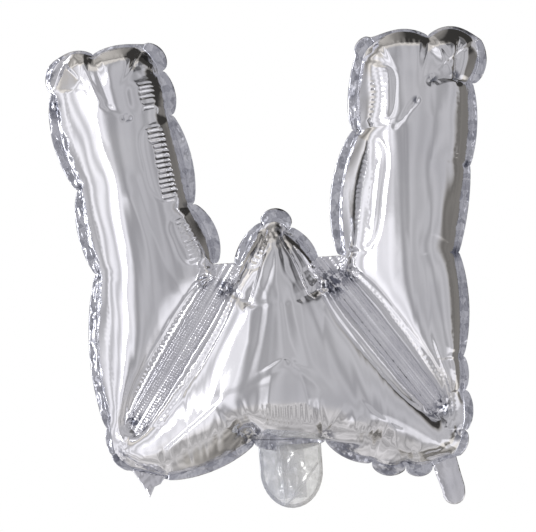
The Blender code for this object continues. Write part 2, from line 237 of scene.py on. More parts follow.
# Folds of the back film, which the picture doesn't show.
BACK_FOLDS: tuple[tuple[float, float, float, Line], ...] = (
    (7, 1.5, 0.4, ((-136, 314), (-131, 296), (-128, 276))),
    (7, -1.2, 0.3, ((-141, 312), (-140, 294), (-134, 272))),
    (7, 1.3, 0.6, ((-164, 296), (-150, 291), (-133, 289))),
    (7, 1.6, 0.4, ((133, 313), (129, 293), (124, 270))),
    (7, 1.6, 0.5, ((166, 306), (157, 296), (150, 279))),
    (7, 1.3, 0.5, ((104, 276), (122, 280), (150, 278))),
    (5, 1.3, 0.1, ((-58, 194), (-70, 194), (-82, 191))),
    (6, 1.5, 0.3, ((71, 240), (82, 243), (97, 241))),
    (5, 1.1, 0.1, ((-144, 145), (-135, 147), (-126, 148))),
    (5, 1.0, 0.1, ((156, 212), (149, 214), (141, 214))),
    (8, 2.8, 0.9, ((-42, 128), (-30, 118), (-9, 112), (13, 113), (30, 119), (37, 124))),
    (7, 1.0, 0.3, ((-5, 172), (-12, 152), (-24, 130))),
    (7, 1.0, 0.3, ((8, 168), (14, 146), (24, 124))),
    (9, 1.0, 0.2, ((-5, 110), (-9, 78), (-22, 46))),
    (9, 0.9, 0.2, ((14, 110), (18, 80), (34, 42))),
    (9, -0.8, 0.2, ((5, 108), (4, 80), (7, 50))),
    (9, 0.8, 0.3, ((-100, 230), (-96, 180), (-84, 140))),
    (9, 0.8, 0.3, ((112, 240), (106, 180), (112, 120))),
    (5, 1.2, 0.3, ((-30, 7), (-36, 18), (-46, 33))),
    (5, 1.2, 0.3, ((30, 7), (36, 18), (44, 31))),
    (6, 1.0, 0.4, ((99, -16), (112, -15), (124, -10), (134, 0))),
    (6, 1.0, 0.4, ((-131, -1), (-116, -11), (-102, -17))),
)

# Where the film is crumpled, in millimetres: x, z, how far it reaches and how deep.
CRUMPLES: tuple[tuple[float, float, float, float], ...] = (
    (-42, 131, 17, 2.0), (38, 130, 17, 2.0), (-121, 24, 12, 1.6), (-133, 3, 9, 1.0), (122, 22, 13, 1.6),
    (138, 2, 12, 1.2), (-31, 9, 10, 1.0), (32, 9, 10, 1.0), (-139, 292, 8, 0.6), (134, 281, 9, 0.8),
    (-146, 146, 8, 0.6), (147, 142, 7, 0.5), (0, 168, 8, 0.8), (160, 274, 7, 0.8), (-88, 306, 8, 0.8),
)

# Where crumpled film shades itself, in metres: x, z, how far it reaches and how dark it gets.
SHADED: tuple[tuple[float, float, float, float], ...] = (
    (-0.0406, 0.1271, 0.012, 0.95), (-0.1199, 0.0257, 0.010, 0.9), (0.0435, 0.1253, 0.017, 1.0),
    (0.1256, 0.0206, 0.012, 0.9), (0.1361, -0.0015, 0.010, 0.8), (-0.1351, -0.0013, 0.009, 0.8),
    (-0.030, 0.006, 0.010, 0.8), (0.030, 0.006, 0.010, 0.8), (-0.168, 0.282, 0.009, 0.9),
    (-0.0929, 0.3153, 0.007, 0.7), (0.133, 0.2805, 0.006, 0.9), (0.1186, 0.2644, 0.0045, 0.9),
    (-0.1084, 0.2661, 0.0045, 0.9), (-0.171, 0.308, 0.009, 0.7), (-0.152, 0.214, 0.006, 0.7),
    (0.073, 0.2455, 0.006, 0.6), (0.146, 0.143, 0.006, 0.8), (0.159, 0.212, 0.006, 0.8),
    (0.152, 0.283, 0.006, 0.9), (0.020, -0.020, 0.014, 0.5), (0.093, -0.022, 0.007, 0.8),
    (-0.015, -0.004, 0.012, 0.5), (0.0, -0.004, 0.012, 0.5), (0.015, -0.004, 0.012, 0.5),
    (0.0458, -0.0139, 0.012, 0.7), (0.0784, -0.0242, 0.010, 0.7),
    (0.005, 0.168, 0.009, 0.7), (-0.142, 0.145, 0.005, 0.7), (-0.067, 0.195, 0.005, 0.7),
)

# The slits' top edges, in millimetres, as x and z.
WEB_TOPS: dict[str, tuple[Point, Point]] = {
    "web_right": ((52, 147), (33.6, 147)),
    "web_left": ((-33.6, 147), (-49.5, 147)),
}

# Runs of the welded edge, in the order they are made. Each stands for the CAD node rim_ and its name.
EDGE_RUNS: tuple[str, ...] = (
    "apex", "peak_right", "peak_left", "leg_right_inner", "leg_right_top", "leg_right_outer", "foot_right",
    "bottom_right", "bottom_left", "foot_left", "leg_left_outer", "leg_left_top", "leg_left_inner",
)


# Shader expressions and finishes


class Sock:
    """A shader value that takes Python's arithmetic."""

    def __init__(self, tree: bpy.types.NodeTree, socket: bpy.types.NodeSocket) -> None:
        """Wraps an output socket of a node tree."""
        self.tree = tree
        self.socket = socket

    def through(self, operation: str, *others: Sock | float) -> Sock:
        """A Math node fed by this value and the others.

        Args:
            operation: The Math node's operation.
            others: Further values or numbers.

        Returns:
            The node's result.
        """
        node = self.tree.nodes.new("ShaderNodeMath")
        node.operation = operation
        for slot, value in zip(node.inputs, (self, *others)):
            if isinstance(value, Sock):
                self.tree.links.new(value.socket, slot)
            else:
                slot.default_value = value
        return Sock(self.tree, node.outputs[0])

    def __add__(self, other: Sock | float) -> Sock:
        """Sum."""
        return self.through("ADD", other)

    def __sub__(self, other: Sock | float) -> Sock:
        """Difference."""
        return self.through("SUBTRACT", other)

    def __mul__(self, other: Sock | float) -> Sock:
        """Product."""
        return self.through("MULTIPLY", other)

    def __neg__(self) -> Sock:
        """The value with its sign turned."""
        return self * -1.0

    def __rsub__(self, other: float) -> Sock:
        """A number less this value."""
        return -self + other

    __radd__ = __add__
    __rmul__ = __mul__

    def power(self, exponent: float) -> Sock:
        """This value raised to an exponent."""
        return self.through("POWER", exponent)

    def between(self, low: float, high: float) -> Sock:
        """A smooth step from 0 at low to 1 at high.

        Args:
            low: Where the step starts.
            high: Where it ends.

        Returns:
            The step's value.
        """
        node = self.tree.nodes.new("ShaderNodeMapRange")
        node.interpolation_type = "SMOOTHSTEP"
        node.inputs["From Min"].default_value = low
        node.inputs["From Max"].default_value = high
        self.tree.links.new(self.socket, node.inputs["Value"])
        return Sock(self.tree, node.outputs["Result"])

    def window(self, rise: tuple[float, float], fall: tuple[float, float]) -> Sock:
        """1 between two smooth slopes and 0 outside them.

        Args:
            rise: Where the value climbs from 0 to 1.
            fall: Where it falls back to 0.

        Returns:
            The window's value.
        """
        return self.between(*rise) * (fall[1] - self).between(0, fall[1] - fall[0])

    def blend(self, first: Colour, second: Colour) -> Sock:
        """A colour between two, chosen by this value.

        Args:
            first: The colour at 0.
            second: The colour at 1.

        Returns:
            The colour.
        """
        node = self.tree.nodes.new("ShaderNodeMix")
        node.data_type = "RGBA"
        node.inputs["A"].default_value = (*first, 1)
        node.inputs["B"].default_value = (*second, 1)
        self.tree.links.new(self.socket, node.inputs["Factor"])
        return Sock(self.tree, node.outputs["Result"])

    def toward(self, colour: Colour, share: Sock) -> Sock:
        """This colour turned toward another one.

        Args:
            colour: The other colour.
            share: How far, 0 to 1.

        Returns:
            The colour.
        """
        node = self.tree.nodes.new("ShaderNodeMix")
        node.data_type = "RGBA"
        self.tree.links.new(self.socket, node.inputs["A"])
        node.inputs["B"].default_value = (*colour, 1)
        self.tree.links.new(share.socket, node.inputs["Factor"])
        return Sock(self.tree, node.outputs["Result"])

    def into(self, slot: bpy.types.NodeSocket) -> None:
        """Feeds this value into an input."""
        self.tree.links.new(self.socket, slot)


class Paint:
    """A material under construction, with its object coordinates at hand."""

    def __init__(self, name: str) -> None:
        """Starts a node material.

        Args:
            name: Its name.
        """
        self.material = bpy.data.materials.new(name)
        self.material.use_nodes = True
        self.tree = self.material.node_tree
        self.shader = self.tree.nodes["Principled BSDF"]
        self.place = self.tree.nodes.new("ShaderNodeTexCoord").outputs["Object"]

    def set(self, **values: object) -> None:
        """Sets the shader's own sockets, with underscores for spaces in their names."""
        for key, value in values.items():
            self.shader.inputs[key.replace("_", " ").title()].default_value = value

    def _noise(self, scale: float, detail: float) -> bpy.types.Node:
        """Makes a noise node over the object's coordinates.

        Args:
            scale: Features in a metre.
            detail: Octaves.

        Returns:
            The node.
        """
        node = self.tree.nodes.new("ShaderNodeTexNoise")
        node.inputs["Scale"].default_value = scale
        node.inputs["Detail"].default_value = detail
        self.tree.links.new(self.place, node.inputs["Vector"])
        return node

    def grain(self, scale: float, detail: float = 2.0) -> Sock:
        """Noise over the object.

        Args:
            scale: Features in a metre.
            detail: Octaves.

        Returns:
            The noise, about 0.3 to 0.7.
        """
        return Sock(self.tree, self._noise(scale, detail).outputs["Fac"])

    def creases(self, scale: float) -> Sock:
        """Sharp creases between smooth facets, as in crinkled film.

        Args:
            scale: Facets in a metre.

        Returns:
            The height, about 0 to 0.3.
        """
        return (self.grain(scale, 0) - 0.5).through("ABSOLUTE") + self.grain(scale * 0.6, 0) * 0.4

    def facets(self, scale: float) -> Sock:
        """Flat cells, each of one random value, as the facets of crinkled film.

        Args:
            scale: Cells in a metre.

        Returns:
            The value, 0 to 1.
        """
        bent = self._noise(scale * 0.5, 2.0)
        moved = self.tree.nodes.new("ShaderNodeVectorMath")
        moved.operation = "MULTIPLY_ADD"
        self.tree.links.new(bent.outputs["Color"], moved.inputs[0])
        moved.inputs[1].default_value = (0.9 / scale,) * 3
        self.tree.links.new(self.place, moved.inputs[2])
        cells = self.tree.nodes.new("ShaderNodeTexVoronoi")
        cells.inputs["Scale"].default_value = scale
        self.tree.links.new(moved.outputs[0], cells.inputs["Vector"])
        split = self.tree.nodes.new("ShaderNodeSeparateXYZ")
        self.tree.links.new(cells.outputs["Color"], split.inputs[0])
        return Sock(self.tree, split.outputs[0])

    def axes(self) -> tuple[Sock, Sock, Sock]:
        """Takes the object coordinates apart.

        Returns:
            The three of them, in metres.
        """
        node = self.tree.nodes.new("ShaderNodeSeparateXYZ")
        self.tree.links.new(self.place, node.inputs["Vector"])
        return tuple(Sock(self.tree, node.outputs[axis]) for axis in "XYZ")

    def shaded(self) -> Sock:
        """Where crumples shade the film, broken up into facets.

        Returns:
            The shade, 0 to 1.
        """
        x, _, z = self.axes()
        facets = self.grain(210, 1).between(0.44, 0.53)
        total = x * 0.0
        for at_x, at_z, reach, dark in SHADED:
            gap = ((x - at_x) * (x - at_x) + (z - at_z) * (z - at_z)).power(0.5)
            total = total + (reach - gap).between(0, reach * 0.8) * dark
        return (total * facets).through("MINIMUM", 0.92)

    def bump(self, height: Sock, distance: float) -> None:
        """Raises the surface by a height.

        Args:
            height: The height, 0 to 1.
            distance: How many metres 1 is.
        """
        node = self.tree.nodes.new("ShaderNodeBump")
        node.inputs["Distance"].default_value = distance
        node.inputs["Strength"].default_value = 1.0
        height.into(node.inputs["Height"])
        self.tree.links.new(node.outputs["Normal"], self.shader.inputs["Normal"])


@dataclass(frozen=True)
class MirrorFilm:
    """Metallised film, bright as a mirror."""

    name: str = "silver_film_mirror"
    bright: Colour = (0.93, 0.93, 0.935)
    dull: Colour = (0.86, 0.86, 0.875)
    shade: Colour = (0.16, 0.17, 0.21)
    roughness: float = 0.085
    ripple: float = 0.00008

    def make(self) -> bpy.types.Material:
        """Makes the material.

        Returns:
            The material.
        """
        paint = Paint(self.name)
        paint.set(metallic=1.0)
        cloud = paint.grain(18, 3).between(0.35, 0.65).blend(self.bright, self.dull)
        cloud.toward(self.shade, paint.shaded()).into(paint.shader.inputs["Base Color"])
        (paint.grain(60, 2) * 0.08 + (self.roughness - 0.03)).into(paint.shader.inputs["Roughness"])
        paint.bump(paint.grain(70, 2) + paint.grain(420, 1) * 0.12, self.ripple)
        return paint.material


@dataclass(frozen=True)
class WeldedFilm:
    """The edge, pressed flat by the hot bar and crinkled, a little duller than the sheets, with painted shade
    on random facets and in its crumples.
    """

    name: str = "silver_film_welded"
    bright: Colour = (0.82, 0.83, 0.87)
    dull: Colour = (0.60, 0.61, 0.66)
    shade: Colour = (0.15, 0.16, 0.21)
    roughness: float = 0.11
    crinkle: float = 0.0011

    def make(self) -> bpy.types.Material:
        """Makes the material.

        Returns:
            The material.
        """
        paint = Paint(self.name)
        paint.set(metallic=1.0)
        cloud = paint.facets(150).blend(self.bright, self.dull)
        # Painted shade: random facets are pulled toward the shade colour, as crinkles that fall into shade.
        cloud = cloud.toward(self.shade, paint.facets(230).between(0.55, 1.0) * 0.42)
        cloud.toward(self.shade, paint.shaded()).into(paint.shader.inputs["Base Color"])
        (paint.grain(150, 2) * 0.10 + (self.roughness - 0.05)).into(paint.shader.inputs["Roughness"])
        creases = paint.creases(85) + paint.creases(210) * 0.35
        paint.bump(creases + paint.grain(900, 0) * 0.03, self.crinkle)
        return paint.material


@dataclass(frozen=True)
class PleatedFilm:
    """The film of the slit webs and the tabs, pulled straight so that it keeps a clean shine."""

    name: str = "silver_film_pleated"
    bright: Colour = (0.93, 0.93, 0.95)
    dull: Colour = (0.84, 0.84, 0.87)
    shade: Colour = (0.15, 0.16, 0.21)
    roughness: float = 0.13

    def make(self) -> bpy.types.Material:
        """Makes the material.

        Returns:
            The material.
        """
        paint = Paint(self.name)
        paint.set(metallic=1.0)
        cloud = paint.grain(40, 2).between(0.35, 0.65).blend(self.bright, self.dull)
        cloud.toward(self.shade, paint.shaded()).into(paint.shader.inputs["Base Color"])
        (paint.grain(90, 1) * 0.06 + (self.roughness - 0.03)).into(paint.shader.inputs["Roughness"])
        paint.bump(paint.creases(150), 0.0002)
        return paint.material


@dataclass(frozen=True)
class ClearFilm:
    """The tail's clear film, whitened along its border, its weld and its creases, with highlights painted on
    it as white glints along two creases.
    """

    # The outline is in metres: half its width, where its sides end and how deep its round end is.
    # Each glint line runs from x, z to x, z and wanders this far: the first two are painted highlights along
    # creases, the last is the weld.
    name: str = "clear_film_tail"
    cool: Colour = (0.80, 0.82, 0.86)
    warm: Colour = (0.94, 0.94, 0.90)
    alpha: float = 0.26
    shine: float = 0.4
    roughness: float = 0.12
    middle: float = 0.001
    half_width: float = 0.025
    straight_to: float = -0.022
    round_end: float = 0.0295
    weld_and_painted_glints: tuple[tuple[float, float, float, float, float], ...] = (
        (0.0234, -0.0159, -0.0055, -0.0507, 0.0011), (0.0108, -0.0145, 0.0058, -0.0240, 0.0006),
        (-0.0064, -0.012, -0.0064, -0.051, 0.0004),
    )

    def make(self) -> bpy.types.Material:
        """Makes the material.

        Returns:
            The material.
        """
        paint = Paint(self.name)
        paint.shader.inputs["IOR"].default_value = 1.5
        paint.set(roughness=self.roughness, metallic=self.shine)
        x, _, z = paint.axes()
        (x * 30 + paint.grain(60, 1) + 0.1).between(0.2, 0.9).blend(self.cool, self.warm).into(
            paint.shader.inputs["Base Color"]
        )
        down = (self.straight_to - z).through("MAXIMUM", 0.0) * (1 / self.round_end)
        across = (x - self.middle) * (1 / self.half_width)
        ring = (across * across + down * down).power(0.5)
        alpha = ring.between(0.90, 0.93) * 0.14 + ring.between(0.975, 0.99) * 0.25
        alpha = alpha + paint.creases(90) * 0.55 + (self.alpha - 0.14)
        # Painted highlights: the glint lines are painted white and nearly opaque, and the weld's line is
        # painted the same way.
        for x1, z1, x2, z2, wide in self.weld_and_painted_glints:
            long = math.dist((x1, z1), (x2, z2))
            off = ((x - x1) * ((z2 - z1) / long) - (z - z1) * ((x2 - x1) / long)).through("ABSOLUTE")
            on = ((x - x1) * ((x2 - x1) / long) + (z - z1) * ((z2 - z1) / long)) * (1 / long)
            line = (-off + paint.grain(160, 1) * wide).between(-wide * 0.4, wide * 0.4)
            alpha = alpha + line * on.window((0, 0.1), (0.9, 1.0)) * 0.8
        alpha.through("MINIMUM", 0.96).into(paint.shader.inputs["Alpha"])
        paint.bump(paint.creases(70) + paint.creases(190) * 0.3, 0.0016)
        return paint.material


@dataclass(frozen=True)
class SleeveFilm:
    """The valve sleeve's milky film."""

    name: str = "valve_film_milky"
    colour: Colour = (0.86, 0.87, 0.88)
    alpha: float = 0.3

    def make(self) -> bpy.types.Material:
        """Makes the material.

        Returns:
            The material.
        """
        paint = Paint(self.name)
        paint.set(base_color=(*self.colour, 1), roughness=0.4)
        (paint.grain(200, 2) * 0.3 + (self.alpha - 0.15)).into(paint.shader.inputs["Alpha"])
        paint.bump(paint.grain(300, 2), 0.0001)
        return paint.material


# The weld


@dataclass(frozen=True)
class Pinch:
    """A pinch of the weld and the stretch that follows it, in millimetres."""

    run: str
    flat: np.ndarray
    shown: np.ndarray
    bow: float
    lobe: float
    width: float
    arc: float
    crest: float
    pucker: float
    near: float
    far: float


@dataclass
class WeldLine:
    """The weld, by its length along the flat film. It sways a little to the front and back."""

    sway: float = 0.7
    calm_below: float = 60.0
    pinches: list[Pinch] = field(init=False)
    flat: np.ndarray = field(init=False)
    shown: np.ndarray = field(init=False)
    lengths: np.ndarray = field(init=False)
    starts: np.ndarray = field(init=False)

    def __post_init__(self) -> None:
        """Reads the plan."""
        self.pinches = [Pinch(run, np.array(row[:2], float), np.array(row[2:4], float), *row[4:])
                        for run, rows in WELD_ROWS.items() for row in rows]
        self.flat = np.array([pinch.flat for pinch in self.pinches])
        self.shown = np.array([pinch.shown for pinch in self.pinches])
        self.lengths = np.linalg.norm(np.roll(self.flat, -1, 0) - self.flat, axis=1)
        self.starts = np.concatenate([[0.0], np.cumsum(self.lengths)[:-1]])

    def of_each(self, name: str) -> np.ndarray:
        """One of the pinches' values, as an array."""
        return np.array([getattr(pinch, name) for pinch in self.pinches])

    def rows_of(self, run: str) -> list[int]:
        """The rows of the plan that make up a run of the edge, in order."""
        return [row for row, pinch in enumerate(self.pinches) if pinch.run == run]

    def shown_at(self, rows: np.ndarray, t: np.ndarray) -> np.ndarray:
        """Where points of the weld lie on the full balloon.

        Args:
            rows: The row of the plan each is on.
            t: How far along the stretch each is, 0 to 1.

        Returns:
            Points in space.
        """
        start = self.shown[rows]
        way = np.roll(self.shown, -1, 0)[rows] - start
        length = np.linalg.norm(way, axis=1)
        left = np.stack([-way[:, 1], way[:, 0]], 1) / length[:, None]
        hump = 4 * t * (1 - t)
        flat = start + way * t[:, None] + left * (self.of_each("bow")[rows] * hump)[:, None]
        sway = self.sway * np.sin(rows * 2.4) * hump * np.clip(length / self.calm_below, 0, 1)
        return np.stack([flat[:, 0], sway, flat[:, 1]], 1)

    def beside(self, place: np.ndarray) -> tuple[np.ndarray, np.ndarray, np.ndarray, np.ndarray]:
        """Finds points of the full balloon beside the weld, as seen from the front.

        Args:
            place: Points, x and z.

        Returns:
            For each the nearest row, how far along it, how far inside it, and how much farther the
            next nearest row is.
        """
        ways = np.roll(self.shown, -1, 0) - self.shown
        lengths = np.linalg.norm(ways, axis=1)
        offset = place[:, None] - self.shown[None]
        t = np.clip((offset * ways[None]).sum(2) / lengths[None] ** 2, 0, 1)
        gap = np.linalg.norm(offset - t[:, :, None] * ways[None], axis=2)
        rows = gap.argmin(1)
        index = np.arange(len(place))
        nearest = gap[index, rows].copy()
        t = t[index, rows]
        way, from_start = ways[rows], offset[index, rows]
        outside = way[:, 0] * from_start[:, 1] - way[:, 1] * from_start[:, 0] > 0
        far = np.where(outside, -nearest, nearest) + self.of_each("bow")[rows] * 4 * t * (1 - t)
        gap[index, rows] = np.inf
        return rows, t, np.maximum(far, 0), gap.min(1) - nearest

    def on_flat(self, flat: np.ndarray) -> tuple[np.ndarray, np.ndarray, np.ndarray]:
        """Finds points of the flat film beside the weld.

        Args:
            flat: Flat points, x and z.

        Returns:
            For each the nearest row, how far along it and how far from it.
        """
        ways = np.roll(self.flat, -1, 0) - self.flat
        offset = flat[:, None] - self.flat[None]
        t = np.clip((offset * ways[None]).sum(2) / self.lengths[None] ** 2, 0, 1)
        gap = np.linalg.norm(offset - t[:, :, None] * ways[None], axis=2)
        rows = gap.argmin(1)
        index = np.arange(len(flat))
        return rows, t[index, rows], gap[index, rows]

    def loop(self, step: float) -> tuple[np.ndarray, ...]:
        """The whole weld in even steps, with the way out of the letter at each point.

        Args:
            step: Length of a step.

        Returns:
            Rows, how far along each, points in space and ways out (x and z).
        """
        counts = np.maximum(2, np.round(self.lengths / step)).astype(int)
        rows = np.repeat(np.arange(len(counts)), counts)
        t = np.concatenate([np.arange(n) / n for n in counts])
        line = self.shown_at(rows, t)
        ahead = np.roll(line, -1, 0) - np.roll(line, 1, 0)
        out = np.stack([-ahead[:, 2], ahead[:, 0]], 1)
        out /= np.linalg.norm(out, axis=1)[:, None]
        for _ in range(3):
            out = np.roll(out, 1, 0) + 2 * out + np.roll(out, -1, 0)
            out /= np.linalg.norm(out, axis=1)[:, None]
        return rows, t, line, out


# The film, flat and blown up


def distance_to(outline: np.ndarray, points: np.ndarray) -> np.ndarray:
    """Signed distance to a closed outline, negative inside.

    Args:
        outline: Corners, one a row.
        points: Points, one a row.

    Returns:
        One distance a point.
    """
    nearest = np.full(len(points), np.inf)
    inside = np.zeros(len(points), bool)
    for start, end in zip(outline, np.roll(outline, -1, 0)):
        way = end - start
        along = np.clip((points - start) @ way / (way @ way), 0, 1)
        gap = points - start - along[:, None] * way
        nearest = np.minimum(nearest, (gap * gap).sum(1))
        if start[1] != end[1]:
            crosses = (start[1] > points[:, 1]) != (end[1] > points[:, 1])
            at = start[0] + (points[:, 1] - start[1]) * (end[0] - start[0]) / (end[1] - start[1])
            inside ^= crosses & (points[:, 0] < at)
    return np.where(inside, -1, 1) * np.sqrt(nearest)


def net_points(low: np.ndarray, high: np.ndarray, step: float, seed: int) -> np.ndarray:
    """Points in a slightly shaken net of even triangles over a rectangle.

    Args:
        low: The rectangle's lower left corner.
        high: Its upper right corner.
        step: Distance between neighbours.
        seed: Seed of the shaking.

    Returns:
        The points, one a row.
    """
    rows = np.arange(low[1], high[1], step * math.sqrt(3) / 2)
    columns = np.arange(low[0], high[0], step)
    grid = [(x + (i % 2) * step / 2, z) for i, z in enumerate(rows) for x in columns]
    return np.array(grid) + np.random.default_rng(seed).uniform(-0.12, 0.12, (len(grid), 2)) * step


def area_of(outline: np.ndarray) -> float:
    """The area inside a closed outline.

    Args:
        outline: Corners in millimetres, one a row.

    Returns:
        The area in square metres.
    """
    x, z = outline.T
    return float(abs((x * np.roll(z, -1) - z * np.roll(x, -1)).sum()) / 2 * MM * MM)


def numbered(faces: np.ndarray, total: int) -> tuple[np.ndarray, np.ndarray]:
    """Numbers afresh the points that triangles use.

    Args:
        faces: Triangles.
        total: How many points there are.

    Returns:
        The points in use, and each old point's new number, or -1.
    """
    used = np.unique(faces)
    place = np.full(total, -1)
    place[used] = np.arange(len(used))
    return used, place


def triangles(points: np.ndarray, lines: list[tuple[int, int]]) -> np.ndarray:
    """Triangles between points, with no edge across the given lines.

    Args:
        points: Points, one a row. None lies on another.
        lines: Pairs of points.

    Returns:
        Corners, one triangle a row, each counter-clockwise.
    """
    _, _, faces, *_ = delaunay_2d_cdt([Vector(p) for p in points], lines, [], 0, 1e-6)
    corners = np.array([f for f in faces if len(f) == 3])
    a, b, c = (points[corners[:, k]] for k in range(3))
    turned = (b[:, 0] - a[:, 0]) * (c[:, 1] - a[:, 1]) < (b[:, 1] - a[:, 1]) * (c[:, 0] - a[:, 0])
    corners[turned] = corners[turned][:, ::-1]
    return corners


def flat_piece(outline: np.ndarray, step: float, seed: int) -> tuple[np.ndarray, np.ndarray]:
    """Divides a flat outline into small triangles.

    Args:
        outline: Corners, in either direction.
        step: Size of the triangles.
        seed: Seed of the net.

    Returns:
        Points (x and z) and triangles.
    """
    line = []
    for start, end in zip(outline, np.roll(outline, -1, 0)):
        count = max(1, round(float(np.linalg.norm(end - start)) / step))
        line += [start + (end - start) * i / count for i in range(count)]
    line = np.array(line)
    inner = net_points(outline.min(0), outline.max(0), step, seed)
    inner = inner[distance_to(outline, inner) < -0.5 * step]
    points = np.concatenate([line, inner])
    faces = triangles(points, [(i, (i + 1) % len(line)) for i in range(len(line))])
    return points, faces[distance_to(outline, points[faces].mean(1)) < 0]


@dataclass
class CutFilm:
    """Both sheets of film, flat, joined along the weld and in the edge outside it."""

    weld: WeldLine
    step: float = 5.6
    edge: float = 7.0
    swollen_within: float = 12.0
    swollen_share: float = 1 / 6
    seed: int = 3
    flat: np.ndarray = field(init=False)
    faces: np.ndarray = field(init=False)
    sides: np.ndarray = field(init=False)
    joined: np.ndarray = field(init=False)
    rows: np.ndarray = field(init=False)
    along: np.ndarray = field(init=False)

    def __post_init__(self) -> None:
        """Cuts the film by the plan."""
        outline = self.weld.flat
        counts = np.maximum(1, np.round(self.weld.lengths / self.step)).astype(int)
        self.rows = np.repeat(np.arange(len(counts)), counts)
        self.along = np.concatenate([np.arange(n) / n for n in counts])
        ends = np.roll(outline, -1, 0)
        line = outline[self.rows] + (ends - outline)[self.rows] * self.along[:, None]
        count = len(line)
        ahead = np.roll(line, -1, 0) - np.roll(line, 1, 0)
        outward = np.stack([-ahead[:, 1], ahead[:, 0]], 1) / np.linalg.norm(ahead, axis=1)[:, None]
        rim = line + outward * self.edge
        rim = rim[np.abs(distance_to(outline, rim) - self.edge) < 0.15 * self.edge]
        margin = self.edge + 2
        inner = net_points(outline.min(0) - margin, outline.max(0) + margin, self.step * 0.95, self.seed)
        far = distance_to(outline, inner)
        inner = inner[(far < self.edge - 0.5 * self.step) & (np.abs(far) > 0.55 * self.step)]
        points = np.concatenate([line, rim, inner])
        corners = triangles(points, [(i, (i + 1) % count) for i in range(count)])
        middle = distance_to(outline, points[corners].mean(1))
        reach = distance_to(outline, points)
        sides = [np.linalg.norm(points[corners[:, k]] - points[corners[:, k - 1]], axis=1) for k in range(3)]
        kept = (middle < 0) | ((middle < self.edge) & (np.max(sides, 0) < 2.6 * self.step)
                               & (reach[corners].max(1) < self.edge + 0.3))
        self._two_layers(points, corners[kept], middle[kept] < 0, reach, count)

    def _two_layers(self, points: np.ndarray, corners: np.ndarray, double: np.ndarray,
                    reach: np.ndarray, count: int) -> None:
        """Lays the back sheet behind the front one and joins them along the weld.

        Args:
            points: Flat points, the weld's first.
            corners: Triangles of one layer.
            double: Which triangles are inside the weld.
            reach: Signed distance of each point to the weld.
            count: How many points are on the weld.
        """
        total = len(points)
        inside = np.zeros(total, bool)
        inside[np.unique(corners[double])] = True
        inside[:count] = False
        loose = np.nonzero(inside)[0]
        back = np.arange(total)
        back[loose] = total + np.arange(len(loose))
        flat = np.zeros((total + len(loose), 3))
        flat[:total, [0, 2]] = points
        flat[total:, [0, 2]] = points[loose]
        puff = np.clip(-reach[loose], 0, self.swollen_within) * self.swollen_share
        flat[loose, 1] = -puff
        flat[total:, 1] = puff
        flat[:, 1] += np.random.default_rng(self.seed + 1).uniform(-0.2, 0.2, len(flat))
        faces = np.concatenate([corners[double], back[corners[double]][:, ::-1], corners[~double]])
        sides = np.repeat([Side.FRONT.value, Side.BACK.value, Side.WELDED.value],
                          [double.sum(), double.sum(), (~double).sum()])
        used, place = numbered(faces, len(flat))
        self.flat, self.faces, self.sides = flat[used], place[faces], sides
        self.joined = place[:count]

    def area(self) -> float:
        """The flat area of one sheet inside the weld, in square metres."""
        return area_of(self.weld.flat)

    def size(self) -> tuple[float, float]:
        """The flat sheet's width and height inside the weld, in metres."""
        width, height = np.ptp(self.weld.flat, axis=0) * MM
        return float(width), float(height)


